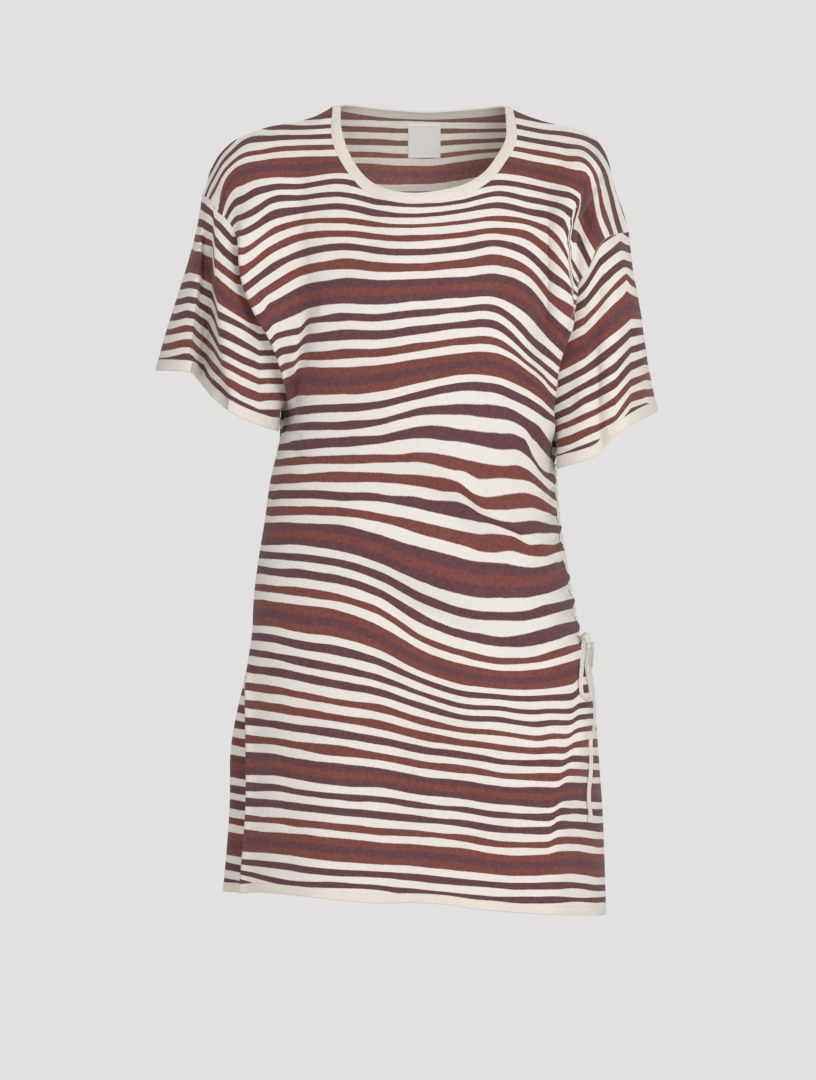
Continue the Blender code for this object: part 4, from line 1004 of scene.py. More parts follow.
# %% Courses on the front
# course, then (across, down) of points on it as the viewer in front sees them
FRONT_COURSES = [
    (-85, [(-234, 84), (-227, 71), (-216, 52), (-205, 40), (-191, 26), (-158, 23), (-131, 23), (-87, 21),
        (0, 19), (87, 19), (131, 27), (164, 31), (185, 37), (196, 45), (207, 63), (216, 88)]),
    (-49, [(-234, 118), (-228, 98), (-223, 89), (-215, 74), (-201, 59), (-169, 49), (-131, 45), (-87, 44),
        (0, 43), (87, 44), (120, 49), (157, 56), (187, 68), (197, 87), (206, 114), (211, 136)]),
    (-22.5, [(-229, 156), (-221, 134), (-216, 110), (-211, 90), (-206, 81), (-201, 76), (-191, 72),
        (-158, 67), (-131, 67), (-87, 64), (0, 64), (44, 63), (87, 63), (131, 71), (142, 73), (153, 75),
        (172, 83), (183, 88), (191, 105), (197, 131), (203, 155)]),
    (4.5, [(-216, 131), (-203, 108), (-191, 101), (-180, 94), (-164, 89), (-131, 87), (-87, 82), (-44, 92),
        (0, 96), (44, 91), (87, 83), (120, 88), (142, 92), (153, 94), (167, 98), (174, 105), (177, 111),
        (183, 127), (191, 152)]),
    (23, [(-216, 151), (-203, 126), (-191, 120), (-180, 114), (-164, 103), (-131, 99), (-87, 96), (-44, 104),
        (0, 108), (44, 104), (87, 95), (120, 101), (142, 105), (153, 108), (166, 117), (174, 127), (178, 140),
        (183, 158)]),
    (39.5, [(-216, 172), (-203, 143), (-191, 137), (-180, 131), (-164, 120), (-131, 113), (-87, 109),
        (-44, 117), (0, 119), (44, 114), (87, 108), (120, 115), (142, 119), (153, 125), (158, 130),
        (162, 143), (169, 147), (185, 190)]),
    (58, [(-216, 199), (-203, 162), (-191, 157), (-158, 135), (-131, 126), (-87, 124), (-44, 129), (0, 130),
        (44, 126), (87, 122), (131, 131), (142, 137), (152, 148), (163, 168), (185, 215)]),
    (92.5, [(-196, 202), (-164, 177), (-131, 160), (-87, 153), (-44, 157), (0, 158), (44, 154), (87, 149),
        (120, 162), (142, 183), (162, 198), (185, 227)]),
    (137.5, [(-191, 243), (-158, 226), (-131, 210), (-87, 201), (-44, 202), (0, 199), (44, 197), (87, 196),
        (120, 211.5), (142, 239), (164, 262), (194, 287)]),
    (180.5, [(-191, 282), (-142, 264), (-131, 261), (-87, 249), (-44, 249), (0, 243), (44, 238), (87, 240),
        (120, 270), (142, 288), (162, 304), (194, 318)]),
    (225.5, [(-191, 317), (-164, 311), (-131, 302), (-87, 299), (-44, 295), (0, 288), (44, 281), (87, 283),
        (120, 298), (131, 307), (142, 320), (162, 335), (194, 350)]),
    (252.5, [(-191, 346), (-131, 332), (-87, 328), (-44, 325), (0, 314), (44, 305), (87, 308), (100, 313),
        (120, 322), (138, 335), (162, 354), (194, 372)]),
    (271, [(-191, 361), (-131, 348), (-87, 347), (-44, 343), (0, 332), (44, 330), (87, 334), (101, 337),
        (120, 349), (129, 356), (142, 374), (162, 387), (194, 401)]),
    (287.5, [(-191, 374), (-131, 369), (-87, 366), (-44, 362), (0, 355), (44, 358), (87, 366), (109, 371),
        (118, 379), (128, 392), (143, 405), (162, 415), (194, 424)]),
    (306, [(-191, 391), (-131, 386), (-87, 385), (-44, 383), (0, 382), (44, 389), (65, 393), (87, 396),
        (120, 405), (131, 412), (145, 424), (162, 431), (194, 437)]),
    (323.5, [(-191, 409), (-131, 405), (-87, 404), (-44, 404), (0, 407), (44, 416), (65, 424), (87, 426),
        (125, 429), (147, 441), (162, 444), (194, 446)]),
    (340.5, [(-191, 425), (-131, 422), (-87, 425), (-44, 426), (0, 432), (44, 445), (65, 450), (93, 452),
        (129, 456), (147, 460), (162, 460), (194, 457)]),
    (359, [(-191, 441), (-131, 440), (-87, 441), (-44, 447), (0, 458), (44, 471), (65, 477), (101, 480),
        (120, 482), (142, 482), (162, 477), (194, 473)]),
    (385.5, [(-191, 465), (-158, 465), (-131, 465), (-87, 470), (-44, 481), (0, 498), (44, 511), (87, 517),
        (131, 516), (164, 502), (194, 489)]),
    (411, [(-191, 484), (-164, 489), (-131, 491), (-87, 497), (-44, 511), (0, 533), (44, 550), (87, 555),
        (120, 554), (142, 548), (162, 542), (194, 534)]),
    (447, [(-191, 521), (-164, 525), (-131, 528), (-87, 535), (-44, 550), (0, 578), (44, 595), (87, 604),
        (120, 603), (142, 598), (162, 592), (194, 584)]),
    (473.5, [(-191, 550), (-158, 553), (-131, 558), (-87, 563), (-44, 579), (0, 603), (44, 618), (87, 625),
        (131, 623), (164, 615), (194, 605)]),
    (519, [(-191, 594), (-164, 598), (-131, 604), (-87, 613), (-44, 623), (0, 639), (44, 653), (87, 656.5),
        (104, 658.5), (120, 659), (142, 657), (162, 656), (194, 653)]),
    (554, [(-191, 632), (-158, 635), (-131, 640), (-87, 650), (-44, 656), (0, 669), (44, 679), (87, 683.5),
        (104, 685.5), (131, 686.5), (142, 684), (164, 683), (194, 677)]),
    (588.5, [(-191, 669), (-164, 672.5), (-131, 678), (-87, 683), (-44, 691.5), (0, 701), (44, 706.5),
        (66, 709.5), (87, 713.5), (120, 714.5), (142, 713), (162, 713), (194, 713)]),
    (633.5, [(-191, 715), (-158, 716), (-131, 722), (-87, 728), (-44, 731), (0, 739), (44, 744), (87, 749),
        (131, 750), (164, 749), (194, 748)]),
    (721.5, [(-191, 799), (-158, 803), (-131, 806), (-87, 810), (-44, 814), (0, 816), (44, 820), (87, 826),
        (131, 826), (164, 824), (194, 827)]),
    (748.5, [(-191, 823), (-158, 827), (-131, 831), (-87, 835), (-44, 837), (0, 840), (44, 845), (87, 848),
        (131, 849), (164, 849), (194, 851)]),
    (767, [(-191, 835), (-142, 846), (-98, 848), (-54, 850), (-11, 855), (33, 859), (76, 862), (120, 864),
        (185, 864)]),
]
print(len(FRONT_COURSES), "courses placed on the front")

# %% Courses on the back
# course, how far down at the wearer's right, in the middle and at the left. Both shoulders droop as on the
# front.
BACK_COURSES = [
    (-85, 23, 19, 25), (-22.5, 71, 66, 73), (58, 148, 134, 152), (137.5, 230, 210, 243),
    (225.5, 311, 302, 325), (306, 390, 391, 407), (385.5, 467, 477, 489), (473.5, 550, 568, 592),
    (554, 638, 653, 670), (633.5, 719, 737, 747), (721.5, 804, 819, 827), (748.5, 829, 845, 851),
]
BACK_SIDE = 189.0
back_courses = [(v, [(-BACK_SIDE, a), (0, b), (BACK_SIDE, c)]) for v, a, b, c in BACK_COURSES]
# the shoulders droop beyond the first two courses' plain ends
back_courses[0][1][:1] = [(-234, 84), (-227, 71), (-216, 52), (-205, 40), (-189, 26), (-158, 23)]
back_courses[0][1][-1:] = [(164, 31), (185, 37), (196, 45), (207, 63), (216, 88)]
back_courses[1][1][:1] = [(-229, 156), (-221, 134), (-216, 110), (-211, 90), (-203, 78), (-189, 73),
                          (-158, 69)]
back_courses[1][1][-1:] = [(157, 72), (172, 82), (181, 93), (186, 113), (194, 137), (203, 161)]
print(len(back_courses), "courses placed on the back")

# %% Slips of the courses across sharp folds
# panel, cloth hidden in the fold (plus where the -X side is further on), breadth of the step at the line's
# start and end, how far it spreads, line
SLIPS = [
    ("front", -7, 3, 3, 46,
        [(171, -590), (170, -645), (168, -669), (165, -690), (158, -720), (147, -775), (140, -835)]),
    ("front", -5, 3.5, 3.5, 30, [(-174, -198), (-169, -214), (-162, -248), (-151, -284), (-145, -316)]),
    ("front", -8, 3.5, 3, 22, [(-121, -217), (-126, -243), (-134, -276), (-140, -308), (-144, -330)]),
    ("front", 9, 7, 0.9, 30,
        [(36, -404), (65, -441), (83, -453), (101, -464), (112, -473), (118, -478), (126, -488)]),
    ("front", 4, 1.2, 1.0, 22, [(112, -352), (116, -362), (121, -378), (129, -394), (140, -412)]),
    ("back", -6, 4, 4, 40, [(126, -470), (90, -458), (56, -430), (34, -404)]),
    ("back", 5, 4, 4, 34, [(-128, -190), (-126, -260), (-134, -330)]),
]
# The fold over the left arm lies on the cloth beyond it, so there alone every course starts again lower
ARM_FOLD = [(188, -66), (184, -84), (174, -106), (166, -125), (163, -140), (163, -169), (165, -194)]
ARM_FOLD_HIDES, ARM_FOLD_REACH, ARM_FOLD_EDGE, ARM_FOLD_FADE = 33.0, 35.0, 0.7, 0.5
SLIP_FADE, SLIP_END_FADE = 0.2, 0.25  # of a slip's line, at its start and at its end


def course_line(points, x):
    """How far down a course is at each x, carried on straight beyond its ends."""
    points = np.array(points, float)
    down = through(points, x)[..., 0]
    (across, fall), (last_across, last_fall) = points[1] - points[0], points[-1] - points[-2]
    before = np.minimum(x - points[0, 0], 0) * fall / across
    after = np.maximum(x - points[-1, 0], 0) * last_fall / last_across
    return down + before + after


LEAST_SPACING = 0.35  # of two courses hung one under the other, against their distance in flat cloth


def course_at(courses, x, down, straight=False):
    """The course at each point: the courses' heights at its own x are read backwards, on a smooth curve."""
    place = np.array([v for v, _ in courses], float)
    if straight:
        hung = np.array([np.interp(x, *zip(*points)) for _, points in courses])
    else:
        hung = np.array([course_line(points, x) for _, points in courses])
    for k in range(1, len(place)):
        hung[k] = np.maximum(hung[k], hung[k - 1] + (place[k] - place[k - 1]) * LEAST_SPACING)
    step = np.diff(hung, axis=0)
    slope = (np.diff(place).reshape(-1, *[1] * x.ndim)) / step
    # A bend over three times the flatter slope beside it would make the curve double back
    inner = np.minimum(inner_slopes(step, slope), 3 * np.minimum(slope[:-1], slope[1:]))
    bend = np.concatenate([slope[:1], inner, slope[-1:]])
    k = np.clip((hung <= down).sum(axis=0) - 1, 0, len(place) - 2)

    def pick(values, index):
        return np.take_along_axis(values, index[None], 0)[0]

    start, wide = pick(hung, k), pick(step, k)
    t = (down - start) / wide
    inside = hermite(place[k], pick(bend, k) * wide, place[k + 1], pick(bend, k + 1) * wide, np.clip(t, 0, 1))
    before = np.minimum(down - hung[0], 0) * bend[0]
    after = np.maximum(down - hung[-1], 0) * bend[-1]
    return inside + before + after


def panel_chart(name, places, grid, courses):
    """u and v of a panel's points."""
    x, z = read_at(name, grid)
    v = course_at(courses, x, -z)
    for owner, hidden, begins, ends, reach, line in SLIPS:
        if owner == name:
            far, place = line_distance(x, z, line)
            fade = ease(place / SLIP_FADE) * ease((1 - place) / SLIP_END_FADE)
            step = np.tanh(far / (begins + (ends - begins) * place))
            v = v - hidden / 2 * step * np.exp(-((far / reach) ** 2)) * fade
    if name == "front":
        far, place = line_distance(x, z, ARM_FOLD)
        beyond = 0.5 + 0.5 * np.tanh(far / ARM_FOLD_EDGE)
        spread = np.exp(-((far / ARM_FOLD_REACH) ** 2))
        v = v - ARM_FOLD_HIDES * beyond * spread * ease(place / ARM_FOLD_FADE)
    girth = run_along(grid[len(grid) // 2])[-1]
    u = np.broadcast_to(places * girth / 2, v.shape)
    return np.stack([u, v], -1)


front_chart = panel_chart("front", front_places, front_grid, FRONT_COURSES)
back_chart = panel_chart("back", back_places, back_grid, back_courses)
print("courses on the front from", front_chart[..., 1].min().round(), "to", front_chart[..., 1].max().round())

# %% Courses on the sleeves
# course, then (across, down) on the front of each sleeve. They step where the cloth doubles under a fold.
SLEEVE_FRONT = {
    "right": [
        (-85, [(-241, 105.5), (-235.5, 108.5), (-225, 117.5), (-223.5, 125.5), (-215, 134.5), (-204, 146.5)]),
        (-67.5, [(-243.5, 125.5), (-237, 127.5), (-225, 134.5), (-223, 146), (-215, 156.5), (-202, 168.5)]),
        (-49, [(-248.5, 142), (-237, 144.5), (-225, 149.5), (-223.5, 169.5), (-215, 177), (-200.5, 188)]),
        (-22.5, [(-253, 169), (-239.5, 170.5), (-237, 175), (-226, 180), (-223, 196), (-215, 206),
            (-199, 218), (-187.5, 226.5)]),
        (4.5, [(-258.5, 196), (-248.5, 194), (-241, 196), (-240, 199), (-226, 206), (-222.5, 214.5),
            (-219.5, 226.5), (-195, 238.5), (-175.5, 251.5)]),
        (23, [(-264, 213.5), (-252, 210.5), (-242.5, 212.5), (-242, 216), (-227, 224), (-223, 231.5),
            (-218.5, 245.5), (-195, 257.5), (-175.5, 268.5)]),
        (39.5, [(-267, 230), (-253.5, 226.5), (-243.5, 228.5), (-242.5, 231.5), (-230, 239.5), (-225, 249.5),
            (-217.5, 264), (-195, 275), (-175.5, 283)]),
        (58, [(-271.5, 245.5), (-254.5, 242), (-245.5, 243), (-244.5, 248), (-231, 257), (-224, 264.5),
            (-215.5, 279), (-195, 290), (-175.5, 299)]),
        (75.5, [(-276, 262.5), (-256.5, 258), (-247, 258.5), (-246.5, 262.5), (-232, 272.5), (-225, 283),
            (-210, 299), (-195, 308), (-175.5, 316)]),
        (92.5, [(-283.5, 278), (-272.5, 277), (-255.5, 273.5), (-248.5, 274), (-248, 277.5), (-235, 284),
            (-227, 300), (-215, 309), (-205, 319), (-195, 325), (-175.5, 334)]),
    ],
    "left": [
        (-85, [(164, 213), (180, 196), (196, 170), (213, 155), (218, 151), (229, 156), (235, 162)]),
        (-67.5, [(147, 233), (164, 223), (180, 214), (196, 193), (213, 177), (222, 171), (229, 173),
            (237, 180)]),
        (-49, [(147, 253), (164, 242), (180, 233), (196, 216), (213, 196), (225, 185), (229, 191),
            (238, 197)]),
        (-22.5, [(147, 280), (164, 270), (180, 262), (196, 246), (213, 230), (229, 218), (240, 220)]),
        (4.5, [(147, 304), (164, 296), (180, 287), (196, 276), (213, 263), (229, 247), (242, 245)]),
        (23, [(147, 322), (164, 313), (180, 304), (196, 296), (213, 284), (229, 265), (245, 261)]),
        (39.5, [(147, 338), (164, 331), (180, 320), (196, 313), (213, 302), (229, 283), (245, 277)]),
        (58, [(147, 352), (164, 345), (180, 338), (196, 331), (213, 321), (229, 301), (245, 294)]),
        (75.5, [(147, 368), (164, 363), (180, 355), (196, 349), (213, 340), (229, 318), (245, 312)]),
        (92.5, [(147, 384), (164, 379), (180, 372), (196, 365), (213, 353), (229, 333), (245, 328)]),
    ],
}
# height above the cuff's seam, course: for the back of a sleeve
SLEEVE_BACK = [(-8, 104), (3.4, 92.5), (17, 75.5), (34, 58), (48, 39.5), (66, 23), (82, 4.5), (108, -22.5),
               (136, -49), (154, -67.5), (174, -85), (260, -165)]
SLEEVE_GIRTH = 432.0
WALE, COURSE = 1.6, 1.2


def sleeve_chart(side):
    """u and v of a sleeve's points."""
    grid = sleeve_grids[side][:-1]
    seam = grid[-1]
    half = seam.shape[0] // 2
    x, z = as_seen(grid)
    seen = course_at(SLEEVE_FRONT[side], x, -z, straight=True)
    line = np.vstack([seam[half:], seam[:1]])
    order = np.argsort(line[:, 0])
    even = np.linspace(line[:, 0].min(), line[:, 0].max(), 40)
    seam_z = np.interp(even, line[order, 0], line[order, 2])
    level = np.convolve(np.pad(seam_z, 4, "edge"), np.ones(9) / 9, "valid")
    hidden = through(SLEEVE_BACK, grid[..., 2] - np.interp(grid[..., 0], even, level))[..., 0]
    turn = np.arange(seam.shape[0]) / seam.shape[0] * 2 * math.pi
    forward = ease(0.5 + 1.6 * np.sin(turn) + 0.45)
    v = seen * forward + hidden * (1 - forward)
    u = np.broadcast_to(np.arange(seam.shape[0]) / seam.shape[0] * SLEEVE_GIRTH, v.shape)
    return np.stack([u, v], -1)


sleeve_charts = {side: sleeve_chart(side) for side in sleeves}
print("wales round a sleeve:", SLEEVE_GIRTH / WALE)


# %% Courses on the bands
def band_chart(sheet):
    """u and v of a band: along it, and across it."""
    ring = sheet.grid[0]
    ahead = np.linalg.norm(np.roll(ring, -1, axis=0) - ring, axis=1)
    run = np.concatenate([[0], np.cumsum(ahead)])
    girth = max(1, round(run[-1] / WALE)) * WALE
    u, v = np.meshgrid(run[:-1] / run[-1] * girth, BAND_PLACES * HEM_WIDTH)
    return np.stack([u, v], -1), girth


print("hem", round(band_chart(hem)[1]), "mm round")

# %% [markdown]
# ## Yarn, loops and stripes
# Three things make up the look of this cloth: the yarn, whose fibres take the dye a little unevenly, the
# loops of the knit, and the stripes. Each is a node group, because several materials use it with their own
# values. The stripes are not drawn on a picture. A ramp holds how far each course lies inside or outside
# the nearest stripe, and another holds which of the two dark yarns it is. Adding slow noise to the course
# before it is looked up lets a stripe waver, and adding noise after it lets it run thick and thin.

# %% Building node groups


class Graph:
    """A node tree with short calls to add nodes and join them. Numbers and sockets may be mixed as inputs."""

    def __init__(self, tree):
        self.tree = tree

    def add(self, kind, inputs=(), **settings):
        node = self.tree.nodes.new(kind)
        for name, value in settings.items():
            setattr(node, name, value)
        for name, value in dict(inputs).items():
            self.join(value, node.inputs[name])
        return node

    def join(self, value, socket):
        if isinstance(value, bpy.types.NodeSocket):
            self.tree.links.new(value, socket)
        else:
            socket.default_value = value

    def math(self, operation, *values):
        return self.add("ShaderNodeMath", enumerate(values), operation=operation).outputs[0]

    def noise(self, where, scale, detail):
        """Soft noise about 0, mostly within one half of it."""
        found = self.add("ShaderNodeTexNoise", {"Vector": where, "Scale": scale, "Detail": detail})
        return self.math("SUBTRACT", found.outputs["Fac"], 0.5)

    def blend(self, amount, first, second, kind="MIX"):
        found = self.add("ShaderNodeMix", {0: amount, 6: first, 7: second}, data_type="RGBA", blend_type=kind)
        return found.outputs[2]


def shader_group(name, inputs, outputs):
    """An empty group with these sockets. Returns its graph, its input sockets by name and its output node."""
    tree = bpy.data.node_groups.new(name, "ShaderNodeTree")
    for label, kind, value in inputs:
        socket = tree.interface.new_socket(label, in_out="INPUT", socket_type=f"NodeSocket{kind}")
        if value is not None:
            socket.default_value = value
    for label, kind in outputs:
        tree.interface.new_socket(label, in_out="OUTPUT", socket_type=f"NodeSocket{kind}")
    graph = Graph(tree)
    return graph, graph.add("NodeGroupInput").outputs, graph.add("NodeGroupOutput").inputs


print("graphs ready")

# %% Yarn
graph, given, made = shader_group(
    "Yarn",
    [("Place", "Vector", None), ("Flecks", "Float", 0.06), ("Patches", "Float", 0.04)],
    [("Tone", "Float")],
)
fleck = graph.math("ADD", graph.noise(given["Place"], 620.0, 2.0), graph.noise(given["Place"], 240.0, 1.0))
cloud = graph.noise(given["Place"], 14.0, 3.0)
fleck = graph.math("MULTIPLY", fleck, given["Flecks"])
cloud = graph.math("MULTIPLY", cloud, given["Patches"])
graph.join(graph.math("ADD", graph.math("MULTIPLY_ADD", fleck, 2.0, 1.0), graph.math("MULTIPLY", cloud, 2.0)),
           made["Tone"])
yarn_group = graph.tree
print("group", yarn_group.name)

# %% Loops of the knit
graph, given, made = shader_group(
    "Jersey loops",
    [
        ("Cloth", "Vector", None),
        ("Wale", "Float", WALE * MILLIMETRE),
        ("Course", "Float", COURSE * MILLIMETRE),
    ],
    [("Height", "Float")],
)
parts = graph.add("ShaderNodeSeparateXYZ", {0: given["Cloth"]})
wale = graph.math("DIVIDE", parts.outputs["X"], given["Wale"])
course = graph.math("DIVIDE", parts.outputs["Y"], given["Course"])
from_spine = graph.math("ABSOLUTE", graph.math("SUBTRACT", graph.math("FRACT", wale), 0.5))
leg = graph.math("COSINE", graph.math("MULTIPLY", graph.math("SUBTRACT", from_spine, 0.25), 4 * math.pi))
rise = graph.math("MULTIPLY_ADD", from_spine, 1.3, course)
loop_wave = graph.math("COSINE", graph.math("MULTIPLY", rise, 2 * math.pi))
height = graph.math("MULTIPLY_ADD", leg, 0.5, graph.math("MULTIPLY", loop_wave, 0.35))
fuzz = graph.noise(given["Cloth"], 2600.0, 2.0)
graph.join(graph.math("MULTIPLY_ADD", fuzz, 0.6, height), made["Height"])
loops_group = graph.tree
print("group", loops_group.name)

# %% The repeat of the stripes
REPEAT = 248.0
# middle of the stripe in the repeat, breadth, its yarns from top to bottom: P is plum, M is maroon
STRIPES = [
    (4.5, 9.0, "P"), (23.0, 8.0, "P"), (39.5, 9.0, "P"), (58.0, 8.0, "M"), (75.5, 9.0, "M"), (92.5, 9.0, "P"),
    (111.0, 10.0, "M"), (137.5, 25.0, "PMP"), (163.0, 8.0, "P"), (180.5, 9.0, "P"), (199.0, 8.0, "M"),
    (225.5, 27.0, "MPM"),
]
INSIDE_SCALE = 40.0  # millimetres from 0 to 1 on the ramp, 0.5 being a stripe's edge


def depth_stops():
    """Places where the distance to a stripe's edge turns: the middles of stripes and of gaps."""
    stops = []
    for i, (middle, breadth, _) in enumerate(STRIPES):
        stops.append((middle, 0.5 + breadth / 2 / INSIDE_SCALE))
        after, wide = STRIPES[(i + 1) % len(STRIPES)][:2]
        after += REPEAT if i + 1 == len(STRIPES) else 0
        gap = after - wide / 2 - middle - breadth / 2
        stops.append((middle + breadth / 2 + gap / 2, 0.5 - gap / 2 / INSIDE_SCALE))
    return stops


YARN_SOFTNESS = 0.8  # millimetres on each side of a change of yarn


def yarn_stops():
    """Places where the yarn changes: 0 is plum, 1 maroon."""
    runs = []
    for middle, breadth, yarns in STRIPES:
        for k, yarn in enumerate(yarns):
            runs.append((middle - breadth / 2 + breadth * k / len(yarns), float(yarn == "M")))
    stops = [(0.0, runs[0][1])]
    for (_, before), (start, now) in zip(runs[:-1], runs[1:]):
        if now != before:
            stops += [(start - YARN_SOFTNESS, before), (start + YARN_SOFTNESS, now)]
    return stops


def fill_ramp(ramp, stops):
    """Set a colour ramp to these places and values."""
    stops = sorted((place % REPEAT / REPEAT, value) for place, value in stops)
    while len(ramp.elements) < len(stops):
        ramp.elements.new(0.5)
    for element, (place, _) in zip(ramp.elements, stops):
        element.position = place
    for element, (place, value) in zip(ramp.elements, stops):
        element.color = (value, value, value, 1)
    return len(stops)


print(len(depth_stops()), "turns and", len(yarn_stops()), "changes of yarn in a repeat")

# %% Stripes
EDGE_SOFTNESS = 0.45  # millimetres on each side of a stripe's edge
graph, given, made = shader_group(
    "Stripes",
    [
        ("Cloth", "Vector", None),
        ("Place", "Vector", None),
        ("Ground", "Color", (0.8, 0.8, 0.7, 1)),
        ("Maroon", "Color", (0.2, 0.05, 0.05, 1)),
        ("Plum", "Color", (0.1, 0.05, 0.06, 1)),
        ("Waver", "Float", 0.0022),
        ("Thick and thin", "Float", 4.2),
    ],
    [("Color", "Color"), ("Dark", "Float")],
)
v = graph.add("ShaderNodeSeparateXYZ", {0: given["Cloth"]}).outputs["Y"]
waver = graph.noise(given["Place"], 13.0, 2.0)
waver = graph.math("MULTIPLY", waver, given["Waver"])
small = graph.math("MULTIPLY", graph.noise(given["Place"], 60.0, 1.0), 0.0007)
v = graph.math("ADD", graph.math("ADD", v, graph.math("MULTIPLY", waver, 2.0)), small)
turn = graph.math("WRAP", graph.math("DIVIDE", v, REPEAT * MILLIMETRE), 1.0, 0.0)
depth_ramp = graph.add("ShaderNodeValToRGB", {"Fac": turn})
print("depth stops", fill_ramp(depth_ramp.color_ramp, depth_stops()))
yarn_ramp = graph.add("ShaderNodeValToRGB", {"Fac": turn})
print("yarn stops", fill_ramp(yarn_ramp.color_ramp, yarn_stops()))
depth = graph.math("MULTIPLY", graph.math("SUBTRACT", depth_ramp.outputs["Color"], 0.5), INSIDE_SCALE)
uneven = graph.math("MULTIPLY", graph.noise(given["Place"], 17.0, 1.0), given["Thick and thin"])
ragged = graph.math("MULTIPLY", graph.noise(given["Place"], 800.0, 1.0), 0.9)
depth = graph.math("ADD", graph.math("ADD", depth, uneven), ragged)
dark = graph.add(
    "ShaderNodeMapRange",
    {"Value": depth, "From Min": -EDGE_SOFTNESS, "From Max": EDGE_SOFTNESS},
    interpolation_type="SMOOTHSTEP",
).outputs["Result"]
yarn = graph.blend(yarn_ramp.outputs["Color"], given["Plum"], given["Maroon"])
graph.join(graph.blend(dark, given["Ground"], yarn), made["Color"])
graph.join(dark, made["Dark"])
stripes_group = graph.tree

# %% [markdown]
# ## Materials
# Fine cotton jersey is matt, with a haze of fibre ends that catches light at a glancing angle: a rough
# surface with some sheen. Its reverse shows the other side of the loops, so the dark yarns look paler there
# and the stripes softer. Its cream ground is painted lighter than the face's, as painted light on the
# shaded inside of the neck. The bands are the same jersey in plain cream. The label is a tight satin weave,
# a touch glossier, and the cord a round knit pressed flat.

# %% Jersey
CREAM, MAROON, PLUM = (0.845, 0.820, 0.765, 1), (0.212, 0.065, 0.055, 1), (0.138, 0.057, 0.069, 1)
# the reverse's cream is painted lighter than the face's: painted light for the shaded inside of the neck. Its
# dark yarns are paler, as on the reverse of a knit.
REVERSE_CREAM_PAINTED_LIGHTER = (0.95, 0.910, 0.840, 1)
MAROON_REVERSE, PLUM_REVERSE = (0.370, 0.150, 0.125, 1), (0.280, 0.140, 0.135, 1)
BAND_CREAM = (0.845, 0.800, 0.715, 1)


def place_group(graph, group, **values):
    """A group's node with these values or sockets as its named inputs."""
    node = graph.add("ShaderNodeGroup", node_tree=group)
    for name, value in values.items():
        graph.join(value, node.inputs[name])
    return node


def cloth_shader(name, roughness, sheen):
    """A material with a Principled shader whose constant values sit on its own sockets."""
    material = bpy.data.materials.new(name)
    material.use_nodes = True
    graph = Graph(material.node_tree)
    shader = material.node_tree.nodes["Principled BSDF"]
    shader.inputs["Roughness"].default_value = roughness
    shader.inputs["Specular IOR Level"].default_value = 0.25
    shader.inputs["Sheen Weight"].default_value = sheen
    shader.inputs["Sheen Roughness"].default_value = 0.45
    shader.inputs["Sheen Tint"].default_value = (1, 0.97, 0.93, 1)
    place = graph.add("ShaderNodeTexCoord").outputs["Object"]
    chart = graph.add("ShaderNodeUVMap", uv_map=CLOTH_MAP).outputs["UV"]
    return material, graph, shader, place, chart


def dye(graph, shader, colour, place, flecks, patches):
    """A colour as the shader's, times the yarn's own unevenness."""
    yarn = place_group(graph, yarn_group, Place=place, Flecks=flecks, Patches=patches)
    dyed = graph.blend(1.0, colour, yarn.outputs["Tone"], "MULTIPLY")
    graph.join(dyed, shader.inputs["Base Color"])


def raise_relief(graph, shader, height, strength, distance):
    """A height as the shader's bump."""
    bump = graph.add("ShaderNodeBump", {"Strength": strength, "Distance": distance, "Height": height})
    graph.join(bump.outputs["Normal"], shader.inputs["Normal"])


def knit_bump(graph, shader, chart, strength, distance=0.0004, **loop_size):
    """The loops as a bump."""
    loops = place_group(graph, loops_group, Cloth=chart, **loop_size)
    raise_relief(graph, shader, loops.outputs["Height"], strength, distance)


def jersey(name, **yarns):
    """Striped jersey in these yarns. The dark ones show more flecks of undyed fibre."""
    material, graph, shader, place, chart = cloth_shader(name, 0.9, 0.16)
    stripes = place_group(graph, stripes_group, Cloth=chart, Place=place, **yarns)
    flecks = graph.math("MULTIPLY_ADD", stripes.outputs["Dark"], 0.26, 0.05)
    dye(graph, shader, stripes.outputs["Color"], place, flecks, 0.035)
    knit_bump(graph, shader, chart, 0.35)
    return material


striped_face = jersey("striped jersey", Ground=CREAM, Maroon=MAROON, Plum=PLUM)
# the reverse: paler dark yarns on a cream ground painted lighter, as painted light inside the neck
striped_reverse_with_painted_light = jersey(
    "striped jersey reverse with painted light", Ground=REVERSE_CREAM_PAINTED_LIGHTER, Maroon=MAROON_REVERSE, Plum=PLUM_REVERSE
)
cream_face, graph, shader, place, chart = cloth_shader("cream jersey", 0.9, 0.16)
dye(graph, shader, BAND_CREAM, place, 0.05, 0.04)
knit_bump(graph, shader, chart, 0.45)
print("striped and plain jersey")

# %% Label weave
LABEL_WHITE = (0.94, 0.935, 0.915, 1)
PICK, END = 0.00042, 0.00030  # metres from one crosswise or lengthwise thread to the next
label_face, graph, shader, place, chart = cloth_shader("woven label", 0.6, 0.05)
parts = graph.add("ShaderNodeSeparateXYZ", {0: chart})
picks = graph.math("SINE", graph.math("MULTIPLY", parts.outputs["Y"], 2 * math.pi / PICK))
ends = graph.math("SINE", graph.math("MULTIPLY", parts.outputs["X"], 2 * math.pi / END))
weave = graph.math("MULTIPLY_ADD", picks, 0.6, graph.math("MULTIPLY", ends, 0.4))
raise_relief(graph, shader, weave, 0.3, 0.0001)
dye(graph, shader, LABEL_WHITE, place, 0.04, 0.02)
print("label weave")

# %% Cord knit
CORD_CREAM = (0.960, 0.935, 0.865, 1)
cord_face, graph, shader, place, chart = cloth_shader("cotton cord", 0.88, 0.2)
knit_bump(graph, shader, chart, 0.7, 0.0005, Wale=0.0011, Course=0.0013)
dye(graph, shader, CORD_CREAM, place, 0.08, 0.03)
print("cord knit")

